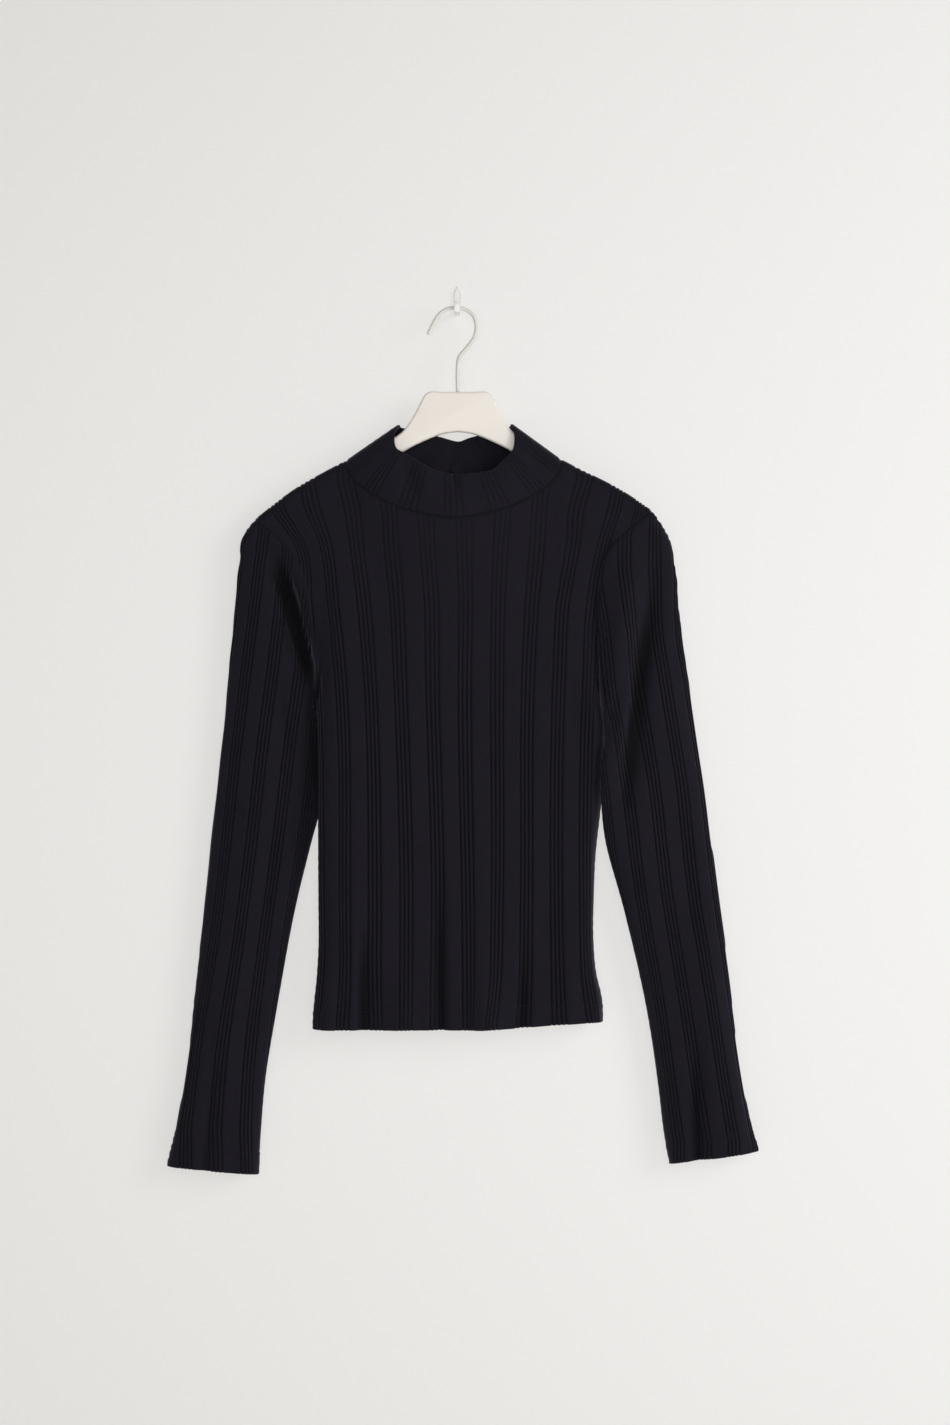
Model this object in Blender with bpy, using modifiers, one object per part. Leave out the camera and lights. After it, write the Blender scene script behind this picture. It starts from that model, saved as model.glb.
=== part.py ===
"""Ribbed mock-neck top on a hanger, hung from a small wall hook.

Every size below is in millimetres and becomes metres as its mesh is made. +Z is up, the wall is
the plane Y = 0, the front of the top faces -Y, and left and right are as seen from the front.
The origin lies in the flat back of the wall hook.
"""
import math

import bmesh
import bpy
import numpy as np
from mathutils import Vector

MM = 0.001

# Cloth
KNIT_WALL = 1.6
COLLAR_WALL = 2.6
SEAM_GAP = 0.42
UNDERARM_GAP = 0.7
UNDERARM_REACH = 35.0

# The fold of the shoulders over the hanger's arms
HANGER_Y = -24.0
FOLD_RADIUS = 8.0
SEAM_TURN = math.radians(65)
BASE_TURN = math.radians(-90)

# How finely each piece is divided
SHOULDER_COLUMNS = 5
NECK_COLUMNS = 10
FRONT_ROWS = 12
BACK_ROWS = 9
FOLD_ROWS = 3
SLEEVE_ROWS = 20
COLLAR_ROWS = 5

# Shares of the width where the shoulder seams end and the neck starts
NECK_LEFT_SHARE = 0.244
NECK_RIGHT_SHARE = 0.77
SHOULDER_SPACING = 1.35

# Ridge of the shoulders: x, z
RIDGE_LEFT = (
    (-190.3, -208.5),
    (-177.3, -196.9),
    (-154.8, -180.7),
    (-121.1, -159.3),
    (-103.5, -149.9),
)
RIDGE_RIGHT = (
    (97.0, -149.0),
    (114.9, -159.3),
    (131.0, -167.4),
    (150.1, -177.0),
    (167.8, -188.1),
    (182.2, -197.0),
)

# Sections of the body below the armholes. The front and back columns say where the front and
# back faces run near each side.
#  height  left_x  left_y  right_x right_y front_l front_r back_l back_r
TORSO = (
    (-677.0, -134.5, -26.0, 136.0, -22.0, -44.0, -40.0, -9.0, -8.0),
    (-655.0, -133.5, -26.0, 135.0, -21.0, -44.0, -40.0, -9.0, -8.0),
    (-632.0, -131.0, -27.0, 130.0, -20.0, -44.5, -39.0, -10.0, -8.0),
    (-600.0, -129.3, -29.0, 127.4, -19.5, -45.0, -38.0, -11.0, -8.0),
    (-560.0, -129.3, -30.5, 127.6, -19.0, -46.0, -37.0, -12.0, -8.0),
    (-520.0, -129.5, -32.0, 129.5, -18.0, -47.0, -36.0, -13.0, -8.0),
    (-484.0, -129.5, -32.0, 133.5, -18.0, -47.0, -36.0, -13.0, -8.0),
    (-440.0, -129.2, -32.0, 137.5, -18.0, -47.0, -36.0, -13.0, -8.0),
    (-412.0, -129.6, -30.5, 138.5, -18.5, -46.5, -36.0, -12.5, -8.5),
    (-392.0, -130.4, -27.0, 137.0, -20.5, -45.5, -37.0, -12.0, -9.5),
    (-377.0, -131.0, -24.0, 133.0, -24.0, -44.0, -38.0, -12.0, -11.0),
)
HEM = -677.0
UNDERARM = -377.0
BODY_ROWS = (-677, -655, -628, -595, -560, -523, -488, -455, -428, -408, -393, -384, -377)
UNDERARM_RISE = 5.0
HEM_RISE = 6.5
HEM_RISE_FROM = 0.55
ROUND_LEFT = 20.0
ROUND_RIGHT = 13.0
ROUND_BACK = 14.0
CROWN = 2.5

# Soft upright flutes in the body: share of the width, depth, spread of the share, fade height
FLUTES = (
    (0.17, 1.8, 0.035, 160.0),
    (0.36, -1.6, 0.045, 120.0),
    (0.58, 2.0, 0.04, 190.0),
    (0.80, -1.8, 0.045, 150.0),
)

# Armhole seams from the underarm up to the ridge: share, x, z, front_y, back_y
ARMHOLE_LEFT = (
    (0.00, -131.0, -377.0, -24.0, -24.0),
    (0.08, -129.3, -364.0, -29.5, -18.5),
    (0.20, -128.4, -345.0, -33.0, -16.5),
    (0.45, -134.9, -297.0, -36.0, -15.5),
    (0.64, -141.9, -260.4, -36.5, -15.5),
    (0.78, -152.5, -237.0, -35.5, -15.5),
    (0.90, -167.5, -219.8, -33.5, -16.0),
)
ARMHOLE_RIGHT = (
    (0.00, 133.0, -372.0, -24.0, -24.0),
    (0.08, 131.5, -358.0, -29.5, -18.5),
    (0.20, 130.5, -340.0, -33.0, -16.5),
    (0.45, 130.6, -290.0, -36.0, -15.5),
    (0.63, 133.5, -256.0, -37.0, -15.5),
    (0.76, 140.5, -233.0, -36.5, -15.5),
    (0.88, 154.0, -218.0, -34.5, -16.0),
)
# How much less the armholes' curve is felt inside a panel near its top than low down
ARMHOLE_GRIP = 8.0
# Where the armhole crosses the fold: x at the shoulder seam, on the ridge and at the fold's base
TIP_LEFT = (-185.3, -190.3, -181.5)
TIP_RIGHT = (178.8, 182.2, 175.6)

# Sections across the sleeves, shoulder to cuff. Front and back say how far each face stands off
# the line between the outer and the inner edge, and bow how far the section curves up.
#  along  outer_x  outer_z  inner_x  inner_z  outer_y inner_y front back bow
SLEEVE_LEFT = (
    (0.06, -201.0, -236.5, -131.2, -390.0, -23.0, -20.0, 12.0, 10.0, 21.0),
    (0.15, -207.3, -285.0, -128.0, -411.0, -21.0, -14.0, 11.5, 9.0, 14.0),
    (0.25, -213.3, -345.0, -125.8, -438.0, -19.5, -11.5, 11.0, 8.0, 8.0),
    (0.36, -219.8, -412.0, -126.3, -468.0, -19.0, -11.5, 11.0, 8.0, 4.0),
    (0.47, -227.8, -485.0, -136.2, -506.0, -18.5, -13.0, 11.0, 8.5, 1.0),
    (0.59, -235.8, -560.0, -151.2, -568.0, -18.5, -15.0, 11.0, 8.5, 0.0),
    (0.74, -245.4, -651.0, -168.0, -660.0, -18.5, -17.0, 11.0, 9.0, 0.0),
    (0.86, -253.2, -722.0, -179.3, -731.0, -19.0, -18.0, 11.0, 9.5, 0.0),
    (0.94, -261.8, -771.0, -183.2, -780.0, -19.5, -18.5, 11.5, 10.0, 0.0),
    (1.00, -268.6, -801.5, -185.0, -810.5, -20.0, -19.0, 12.0, 10.5, 0.0),
)
SLEEVE_RIGHT = (
    (0.06, 200.4, -239.0, 137.6, -386.0, -24.0, -27.5, 12.0, 11.0, 22.0),
    (0.15, 206.8, -285.0, 136.2, -408.0, -23.0, -34.5, 11.5, 10.0, 14.0),
    (0.25, 214.2, -345.0, 133.2, -437.0, -22.0, -38.0, 11.0, 9.5, 8.0),
    (0.36, 223.5, -412.0, 133.4, -466.0, -21.0, -36.5, 11.0, 9.5, 4.0),
    (0.47, 232.9, -485.0, 138.2, -506.0, -20.5, -31.0, 11.0, 9.5, 1.0),
    (0.59, 242.7, -556.0, 155.3, -568.0, -20.0, -25.0, 11.0, 9.5, 0.0),
    (0.74, 255.0, -651.0, 176.6, -661.0, -20.0, -21.0, 11.0, 9.5, 0.0),
    (0.86, 263.9, -722.0, 187.4, -732.0, -20.0, -20.0, 11.0, 9.5, 0.0),
    (0.94, 273.0, -763.0, 192.8, -777.0, -20.0, -20.0, 11.5, 10.0, 0.0),
    (1.00, 280.2, -788.5, 198.0, -801.0, -20.0, -20.0, 12.0, 10.5, 0.0),
)
EDGE_SHAPE = 2.5
BOW_LEAN = 1.3

# Large folds of the sleeves: troughs pressed into the front face, from one place to another
#  from_x  from_z   to_x    to_z   depth spread
SLEEVE_FOLDS = (
    (-171.0, -232.0, -152.0, -290.0, 6.0, 9.0),
    (-152.0, -290.0, -135.0, -345.0, 5.0, 8.0),
    (182.0, -245.0, 171.0, -310.0, 3.0, 11.0),
    (171.0, -310.0, 167.0, -430.0, 2.5, 12.0),
)

# Neck seam
NECK_DROP_FRONT = 50.0
NECK_SHAPE = 1.7
NECK_FRONT_BULGE = 12.5
NECK_DROP_BACK = 10.0
NECK_BACK_HOLLOW = 6.5

# Folded top edge of the collar: share of the way from the left peak to the right one, x, y, z
COLLAR_TOP_FRONT = (
    (0.00, -57.0, -32.6, -118.5),
    (0.10, -58.5, -35.0, -127.5),
    (0.20, -56.0, -37.5, -138.0),
    (0.28, -47.0, -39.5, -143.0),
    (0.36, -33.0, -41.0, -152.0),
    (0.43, -20.0, -41.5, -158.5),
    (0.50, -5.0, -41.5, -161.8),
    (0.60, 17.0, -41.5, -161.2),
    (0.69, 34.0, -40.5, -157.0),
    (0.77, 45.0, -39.0, -147.0),
    (0.85, 52.0, -37.0, -138.5),
    (0.93, 53.5, -35.0, -127.5),
    (1.00, 52.5, -32.6, -118.0),
)
COLLAR_TOP_BACK = (
    (0.00, -54.0, -15.0, -116.5),
    (0.20, -36.0, -11.0, -121.0),
    (0.36, -16.0, -9.0, -125.3),
    (0.50, 1.0, -9.0, -129.5),
    (0.62, 12.0, -9.0, -126.0),
    (0.80, 32.0, -11.0, -121.0),
    (1.00, 50.0, -15.0, -116.0),
)
COLLAR_PEAK_LEFT = (-54.5, -24.0, -114.6)
COLLAR_PEAK_RIGHT = (51.0, -24.0, -114.2)
COLLAR_BULGE = 2.5

# Hanger, alike on both sides of its middle: distance from the middle, top edge, under edge
HANGER_HALF_THICKNESS = 4.5
HANGER_EDGE_ROUND = 2.4
HANGER_MIDDLE_X = 0.5
HANGER_OUTLINE = (
    (0.0, -85.0, -122.0),
    (14.0, -85.0, -124.0),
    (27.0, -85.0, -128.8),
    (30.5, -87.0, -130.3),
    (33.0, -91.5, -131.5),
    (38.5, -102.5, -134.0),
    (45.0, -113.5, -137.5),
    (51.0, -121.5, -141.0),
    (60.0, -128.2, -146.5),
    (75.0, -138.2, -157.0),
    (96.5, -153.6, -171.0),
    (110.0, -160.8, -178.5),
    (132.0, -172.6, -191.5),
    (152.0, -183.4, -201.0),
    (163.0, -190.8, -206.0),
    (168.0, -196.5, -204.5),
)

# Wire hook of the hanger, from its tip to the hanger's top: x, z
WIRE_RADIUS = 1.75
WIRE_STEPS = 30
WIRE_ROUTE = (
    (0.00, -26.5, -29.8),
    (0.11, -17.2, -13.2),
    (0.18, -9.8, -7.8),
    (0.25, -0.9, -6.5),
    (0.32, 7.6, -8.0),
    (0.40, 14.8, -13.6),
    (0.49, 18.0, -23.5),
    (0.58, 16.0, -34.0),
    (0.68, 9.0, -43.6),
    (0.80, 1.6, -53.5),
    (0.87, 0.5, -61.0),
    (1.00, 0.5, -84.65),
)

# Wall hook: a strip with its flat back on the wall, bent forward under the wire and up again
STRIP_WIDTH = 5.6
STRIP_THICKNESS = 2.2
STRIP_SHOULDER = 9.0
STRIP_TIP = 16.3
STRIP_POINT_SHARE = 0.12
SHELF_TOP = -8.75
SHELF_REACH = -30.0
LIP_TOP = -2.0
STRIP_EDGE_ROUND = 0.6

# Colours: red, green, blue, roughness
KNIT_COLOUR = (0.012, 0.0115, 0.016, 0.85)
HANGER_COLOUR = (0.78, 0.74, 0.68, 0.5)
WIRE_COLOUR = (0.72, 0.69, 0.63, 0.35)
STRIP_COLOUR = (0.84, 0.84, 0.82, 0.4)


def smooth(table, at):
    """Columns of a table at the given values of its first one, on smooth curves through its rows."""
    rows = np.array(table, dtype=float)
    knots = rows[:, 0]
    values = rows[:, 1:]
    slopes = np.gradient(values, knots, axis=0)
    at = np.clip(np.asarray(at, dtype=float), knots[0], knots[-1])
    low = np.clip(np.searchsorted(knots, at, side="right") - 1, 0, len(knots) - 2)
    span = (knots[low + 1] - knots[low])[..., None]
    t = ((at - knots[low]) / (knots[low + 1] - knots[low]))[..., None]
    start = (1 + 2 * t) * (1 - t) ** 2 * values[low] + t * (1 - t) ** 2 * span * slopes[low]
    end = t * t * (3 - 2 * t) * values[low + 1] - t * t * (1 - t) * span * slopes[low + 1]
    return start + end


def blend(low, high, share):
    return low + (high - low) * share


def fade(share):
    """Soft step from 0 to 1."""
    share = np.clip(share, 0.0, 1.0)
    return share * share * (3 - 2 * share)


def stack(*columns):
    return np.stack(np.broadcast_arrays(*columns), axis=-1).astype(float)


def spread(points, shares):
    """Points at the given shares of a line's length."""
    steps = np.linalg.norm(np.diff(points, axis=0), axis=1)
    run = np.concatenate([[0.0], np.cumsum(steps)])
    run = run / run[-1]
    return np.stack([np.interp(shares, run, points[:, k]) for k in range(points.shape[1])], axis=-1)


# ---- the fold over the hanger -------------------------------------------------------------

def ridge(x):
    """Height of the shoulders' ridge."""
    x = np.asarray(x, dtype=float)
    left = smooth(RIDGE_LEFT, x)[..., 0]
    right = smooth(RIDGE_RIGHT, x)[..., 0]
    return np.where(x < 0, left, right)


def on_fold(x, turn):
    """A place on the fold: turn is 0 on the ridge and grows towards the front."""
    y = HANGER_Y - FOLD_RADIUS * np.sin(turn)
    z = ridge(x) - FOLD_RADIUS * (1 - np.cos(turn))
    return stack(x, y, z)


def tip_x(tips, turn):
    """Where the armhole crosses the fold."""
    at_seam, on_ridge, at_base = tips
    return np.interp(turn, (BASE_TURN, 0.0, SEAM_TURN), (at_base, on_ridge, at_seam))


# ---- seams --------------------------------------------------------------------------------

def armhole_line(table, tips, face):
    """One side of an armhole from the underarm up to the fold; face is 0 in front, 1 behind."""
    turn = BASE_TURN if face else SEAM_TURN
    end = on_fold(tip_x(tips, turn), turn)
    rows = [(share, x, (front_y, back_y)[face], z) for share, x, z, front_y, back_y in table]
    rows.append((1.0, end[0], end[1], end[2]))
    return smooth(rows, np.linspace(0.0, 1.0, 120))


class Armhole:
    """The closed seam between the body and a sleeve, followed by the share of its length."""

    def __init__(self, table, tips):
        turns = np.linspace(SEAM_TURN, BASE_TURN, 30)
        front = armhole_line(table, tips, 0)
        top = on_fold(tip_x(tips, turns), turns)
        back = armhole_line(table, tips, 1)[::-1]
        self.line = np.concatenate([front, top[1:], back[1:]])
        steps = np.linalg.norm(np.diff(self.line, axis=0), axis=1)
        run = np.concatenate([[0.0], np.cumsum(steps)]) / steps.sum()
        self.seam = run[len(front) - 1]
        self.base = run[len(front) + len(top) - 2]

    def at(self, share):
        return spread(self.line, share)


ARMHOLES = {
    "left": Armhole(ARMHOLE_LEFT, TIP_LEFT),
    "right": Armhole(ARMHOLE_RIGHT, TIP_RIGHT),
}
NECK_LEFT_X = RIDGE_LEFT[-1][0]
NECK_RIGHT_X = RIDGE_RIGHT[0][0]


def neck_front(share):
    """Front neck seam from the left shoulder seam to the right one."""
    middle = (NECK_LEFT_X + NECK_RIGHT_X) / 2
    half = (NECK_RIGHT_X - NECK_LEFT_X) / 2
    across = -np.cos(np.pi * share)
    drop = (1 - np.abs(across) ** NECK_SHAPE).clip(0) ** (1 / NECK_SHAPE)
    start = on_fold(NECK_LEFT_X, SEAM_TURN)
    end = on_fold(NECK_RIGHT_X, SEAM_TURN)
    y = blend(start[1], end[1], share) - NECK_FRONT_BULGE * np.sin(np.pi * share)
    z = blend(start[2], end[2], share) - NECK_DROP_FRONT * drop
    return stack(middle + half * across, y, z)


def neck_back(share):
    """Back neck seam from the left shoulder to the right one."""
    middle = (NECK_LEFT_X + NECK_RIGHT_X) / 2
    half = (NECK_RIGHT_X - NECK_LEFT_X) / 2
    start = on_fold(NECK_LEFT_X, BASE_TURN)
    end = on_fold(NECK_RIGHT_X, BASE_TURN)
    arch = np.sin(np.pi * share)
    y = blend(start[1], end[1], share) + NECK_BACK_HOLLOW * arch
    z = blend(start[2], end[2], share) - NECK_DROP_BACK * arch
    return stack(middle - half * np.cos(np.pi * share), y, z)


# ---- body ---------------------------------------------------------------------------------

def rounded(distance, reach):
    """Quarter round that rises from 0 at an edge to 1 at reach."""
    return np.sqrt(1 - (1 - np.clip(distance / reach, 0, 1)) ** 2)


def body_section(height, face, shares):
    """Points across the body at a height, evenly by arc; face is 0 in front, 1 behind."""
    left_x, left_y, right_x, right_y, *faces = smooth(TORSO, height)
    near_left = faces[2 * face]
    near_right = faces[2 * face + 1]
    across = (1 - np.cos(np.pi * np.linspace(0, 1, 161))) / 2
    x = blend(left_x, right_x, across)
    edge_y = blend(left_y, right_y, across)
    face_y = blend(near_left, near_right, across)
    lift = rounded(x - left_x, ROUND_BACK if face else ROUND_LEFT)
    lift = lift * rounded(right_x - x, ROUND_BACK if face else ROUND_RIGHT)
    crown = CROWN * 4 * across * (1 - across) * (1 - 2 * face)
    y = edge_y + (face_y - edge_y) * lift - crown * lift
    rise = UNDERARM_RISE * across * fade((height - HEM) / (UNDERARM - HEM))
    rise = rise + HEM_RISE * fade((across - HEM_RISE_FROM) / (1 - HEM_RISE_FROM)) * fade(
        1 - (height - HEM) / (UNDERARM - HEM) * 2
    )
    return spread(stack(x, y, height + rise), shares)


def flute(share, height):
    """How far the soft upright flutes push the cloth forward."""
    depth = 0.0
    for middle, strength, width, reach in FLUTES:
        near = np.exp(-(((share - middle) / width) ** 2))
        depth = depth + strength * near * np.exp(-(((height - HEM) / reach) ** 2))
    return depth


def lower_body(share, height, face):
    """A place on a panel below the armholes."""
    point = body_section(height, face, np.array([share]))[0]
    point[1] -= flute(share, height) * (1.0 if face == 0 else -0.6)
    return point


def shoulder_share(share):
    """Splits a share of the width into the part it lies in and the share of that part."""
    if share <= NECK_LEFT_SHARE:
        return "left", share / NECK_LEFT_SHARE
    if share < NECK_RIGHT_SHARE:
        return "neck", (share - NECK_LEFT_SHARE) / (NECK_RIGHT_SHARE - NECK_LEFT_SHARE)
    return "right", (share - NECK_RIGHT_SHARE) / (1 - NECK_RIGHT_SHARE)


def fold_point(share, turn):
    """A place on the fold over a shoulder, by its share of the panel's width."""
    part, along = shoulder_share(share)
    if part == "left":
        return on_fold(blend(tip_x(TIP_LEFT, turn), NECK_LEFT_X, along), turn)
    return on_fold(blend(NECK_RIGHT_X, tip_x(TIP_RIGHT, turn), along), turn)


def upper_edge(share, face):
    """Top edge of a panel: the shoulder seams and the neck in front, the fold's base behind."""
    part, along = shoulder_share(share)
    if part == "neck":
        return neck_back(along) if face else neck_front(along)
    return fold_point(share, BASE_TURN if face else SEAM_TURN)


def armhole_share(side, up, face):
    """Share of an armhole's length at a height of the upper body."""
    armhole = ARMHOLES[side]
    return blend(1.0, armhole.base, up) if face else blend(0.0, armhole.seam, up)


def upper_body(share, up, face):
    """A place on a panel above the underarm, inside its four edges."""
    left = ARMHOLES["left"].at(armhole_share("left", up, face))
    right = ARMHOLES["right"].at(armhole_share("right", up, face))
    left_low = ARMHOLES["left"].at(0.0)
    right_low = ARMHOLES["right"].at(0.0)
    left_high = upper_edge(0.0, face)
    right_high = upper_edge(1.0, face)
    low = lower_body(share, UNDERARM, face)
    high = upper_edge(share, face)
    nearness = 1 + ARMHOLE_GRIP * up ** 3
    left_bow = left - blend(left_low, left_high, up)
    right_bow = right - blend(right_low, right_high, up)
    point = blend(low, high, up)
    point = point + left_bow * (1 - share) ** nearness + right_bow * share ** nearness
    width = right_low[0] - left_low[0]
    left_round = 1 - rounded(share * width, ROUND_BACK if face else ROUND_LEFT)
    right_round = 1 - rounded((1 - share) * width, ROUND_BACK if face else ROUND_RIGHT)
    point[1] = blend(low[1], high[1], up) + left_bow[1] * left_round + right_bow[1] * right_round
    return point


# ---- sleeves ------------------------------------------------------------------------------

EDGE_TURNS = np.linspace(0, np.pi, 181)
EDGE_ACROSS = (1 - np.sign(np.cos(EDGE_TURNS)) * np.abs(np.cos(EDGE_TURNS)) ** (2 / EDGE_SHAPE)) / 2
EDGE_OUT = np.sin(EDGE_TURNS).clip(0) ** (2 / EDGE_SHAPE)
SLEEVE_ASPECT = 0.13


def flat_tube(shares):
    """Across and outward places around half of a flattened tube, evenly by arc."""
    line = stack(EDGE_ACROSS, EDGE_OUT * SLEEVE_ASPECT)
    points = spread(line, shares)
    return points[:, 0], points[:, 1] / SLEEVE_ASPECT


def sleeve_section(row, shares):
    """A section of a sleeve; shares run from the inner edge over the front and round behind."""
    _, outer_x, outer_z, inner_x, inner_z, outer_y, inner_y, front, back, bow = row
    behind = shares > 0.5
    across, out = flat_tube(np.where(behind, 2 * (1 - shares), 2 * shares))
    length = math.hypot(outer_x - inner_x, outer_z - inner_z)
    lean_x = (inner_z - outer_z) / length
    lean_z = (outer_x - inner_x) / length
    upward = math.copysign(1.0, lean_z)
    curve = bow * upward * np.sin(np.pi * across ** BOW_LEAN)
    x = blend(inner_x, outer_x, across) + curve * lean_x
    z = blend(inner_z, outer_z, across) + curve * lean_z
    y = blend(inner_y, outer_y, across) + np.where(behind, back, -front) * out
    return stack(x, y, z)


def sleeve_sections(side, shares):
    """All the sections of a sleeve, the armhole first, and how far along each one stands."""
    table = SLEEVE_LEFT if side == "left" else SLEEVE_RIGHT
    points = [ARMHOLES[side].at(shares)]
    points.extend(sleeve_section(row, shares) for row in table)
    along = [0.0] + [row[0] for row in table]
    return along, np.array(points)


def fold_depth(x, z):
    """How far the sleeves' large folds press the front face in."""
    depth = 0.0
    for from_x, from_z, to_x, to_z, strength, width in SLEEVE_FOLDS:
        run_x = to_x - from_x
        run_z = to_z - from_z
        share = ((x - from_x) * run_x + (z - from_z) * run_z) / (run_x ** 2 + run_z ** 2)
        share = np.clip(share, 0, 1)
        away = np.hypot(x - from_x - share * run_x, z - from_z - share * run_z)
        depth = np.maximum(depth, strength * np.exp(-((away / width) ** 2)))
    return depth


def sleeve_rows(side, shares, rows):
    """The sleeve's surface as rows of points from the armhole to the cuff."""
    along, sections = sleeve_sections(side, shares)
    flat = sections.reshape(len(along), -1)
    table = np.column_stack([along, flat])
    points = smooth(table, rows).reshape(len(rows), len(shares), 3)
    in_front = (np.sin(2 * np.pi * shares).clip(0)) ** 0.5
    in_front = in_front * fade(np.asarray(rows) / 0.05)[:, None]
    points[:, :, 1] += fold_depth(points[:, :, 0], points[:, :, 2]) * in_front
    return points


# ---- collar -------------------------------------------------------------------------------

def collar_top(part, share):
    """Top edge of the collar over one part of the neck."""
    if part == "front":
        return smooth(COLLAR_TOP_FRONT, share)
    if part == "back":
        return smooth(COLLAR_TOP_BACK, share)
    peak = np.array(COLLAR_PEAK_LEFT if part == "left" else COLLAR_PEAK_RIGHT)
    end = 0.0 if part == "left" else 1.0
    front = smooth(COLLAR_TOP_FRONT, end)
    back = smooth(COLLAR_TOP_BACK, end)
    through = 2 * peak - (front + back) / 2
    return (1 - share) ** 2 * front + 2 * share * (1 - share) * through + share ** 2 * back


def collar_bottom(part, share):
    """Neck seam under one part of the collar; the side parts run over the fold to the back."""
    if part == "front":
        return neck_front(share)
    if part == "back":
        return neck_back(share)
    x = NECK_LEFT_X if part == "left" else NECK_RIGHT_X
    return on_fold(x, blend(SEAM_TURN, BASE_TURN, share))


def collar_point(part, share, up):
    """A place on the collar; up runs from the neck seam to the folded edge."""
    point = blend(collar_bottom(part, share), collar_top(part, share), up)
    swell = COLLAR_BULGE * math.sin(math.pi * up)
    if part == "front":
        point[1] -= swell * math.sin(math.pi * share)
    elif part == "back":
        point[1] += swell * math.sin(math.pi * share)
    else:
        point[2] += swell * math.sin(math.pi * share)
    return point


# ---- meshes -------------------------------------------------------------------------------

def column_shares():
    """Shares of the width at the panels' columns, closer together at the sides."""
    steps = np.linspace(0, 1, SHOULDER_COLUMNS + 1) ** SHOULDER_SPACING
    left = NECK_LEFT_SHARE * steps
    neck = np.linspace(NECK_LEFT_SHARE, NECK_RIGHT_SHARE, NECK_COLUMNS + 1)
    right = 1 - (1 - NECK_RIGHT_SHARE) * steps[::-1]
    return np.concatenate([left[:-1], neck[:-1], right])


def add_grid(garment, piece, columns, rows, place):
    """Add a sheet whose corner of column i and row j stands at place(i, j)."""
    made = bmesh.ops.create_grid(garment, x_segments=columns, y_segments=rows, size=0.5)
    faces = set()
    for vert in made["verts"]:
        column = round((vert.co.x + 0.5) * columns)
        row = round((vert.co.y + 0.5) * rows)
        vert.co = Vector(place(column, row))
        faces.update(vert.link_faces)
    for face in faces:
        face.material_index = piece


def add_panel(garment, piece, face):
    """Front or back panel as one sheet from the hem to its upper edge."""
    shares = column_shares()
    lower_rows = len(BODY_ROWS) - 1
    upper_rows = BACK_ROWS if face else FRONT_ROWS

    def place(column, row):
        if row < len(BODY_ROWS):
            return lower_body(shares[column], BODY_ROWS[row], face)
        return upper_body(shares[column], (row - lower_rows) / upper_rows, face)

    add_grid(garment, piece, len(shares) - 1, lower_rows + upper_rows, place)


def add_fold(garment, piece, side):
    """The part of the back panel that comes over the hanger's arm to the shoulder seam."""
    shares = column_shares()
    first = 0 if side == "left" else SHOULDER_COLUMNS + NECK_COLUMNS
    tip = 0 if side == "left" else SHOULDER_COLUMNS
    armhole = ARMHOLES[side]

    def place(column, row):
        if column == tip:
            return armhole.at(blend(armhole.base, armhole.seam, row / FOLD_ROWS))
        turn = blend(BASE_TURN, SEAM_TURN, row / FOLD_ROWS)
        return fold_point(shares[first + column], turn)

    add_grid(garment, piece, SHOULDER_COLUMNS, FOLD_ROWS, place)


def sleeve_shares(side):
    """Shares around a sleeve that meet the rows of the panels and of the fold."""
    armhole = ARMHOLES[side]
    front = np.linspace(0, armhole.seam, FRONT_ROWS + 1)
    top = np.linspace(armhole.seam, armhole.base, FOLD_ROWS + 1)
    back = np.linspace(armhole.base, 1, BACK_ROWS + 1)
    return np.concatenate([front[:-1], top[:-1], back])


def add_sleeve(garment, piece, side):
    shares = sleeve_shares(side)
    rows = np.linspace(0, 1, SLEEVE_ROWS + 1) ** 1.15
    points = sleeve_rows(side, shares, rows)
    add_grid(garment, piece, len(shares) - 1, SLEEVE_ROWS, lambda column, row: points[row, column])


def add_collar(garment, piece):
    """Band around the neck: front, over the right fold, back, over the left fold."""
    places = [("front", k / NECK_COLUMNS) for k in range(NECK_COLUMNS)]
    places += [("right", k / FOLD_ROWS) for k in range(FOLD_ROWS)]
    places += [("back", 1 - k / NECK_COLUMNS) for k in range(NECK_COLUMNS)]
    places += [("left", 1 - k / FOLD_ROWS) for k in range(FOLD_ROWS)]
    places.append(places[0])

    def place(column, row):
        part, share = places[column]
        return collar_point(part, share, row / COLLAR_ROWS)

    add_grid(garment, piece, len(places) - 1, COLLAR_ROWS, place)


def seam_gap(place):
    """Distance between two pieces at a seam: wider where four of them meet under an arm."""
    away = min(np.linalg.norm(armhole.at(0.0) - place) for armhole in ARMHOLES.values())
    return blend(UNDERARM_GAP, SEAM_GAP, fade(away / UNDERARM_REACH))


def seam_shift(vert, piece):
    """How a corner on a seam steps back into its own piece, by half of the gap."""
    inward = []
    for edge in vert.link_edges:
        pieces = {face.material_index for face in edge.link_faces}
        if len(pieces) < 2 or piece not in pieces:
            continue
        face = next(face for face in edge.link_faces if face.material_index == piece)
        along = (edge.verts[1].co - edge.verts[0].co).normalized()
        into = face.calc_center_median() - edge.verts[0].co
        inward.append((into - along * into.dot(along)).normalized())
    if not inward:
        return Vector()
    shift = sum(inward, Vector())
    if len(inward) > 1:
        shift /= max(1 + inward[0].dot(inward[1]), 0.4)
    return shift * float(seam_gap(vert.co)) / 2


def split_edge_wall(face, inner, number):
    """Cut a twisted wall along a cloth edge in two, the same way on both sides of a seam."""
    outside = sorted((vert for vert in face.verts if vert not in inner), key=lambda vert: vert[number])
    inside = [vert for vert in face.verts if vert in inner]
    if len(outside) == 2 and len(inside) == 2:
        across = next(vert for vert in inside if vert[number] == outside[1][number])
        bmesh.utils.face_split(face, outside[0], across)


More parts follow.
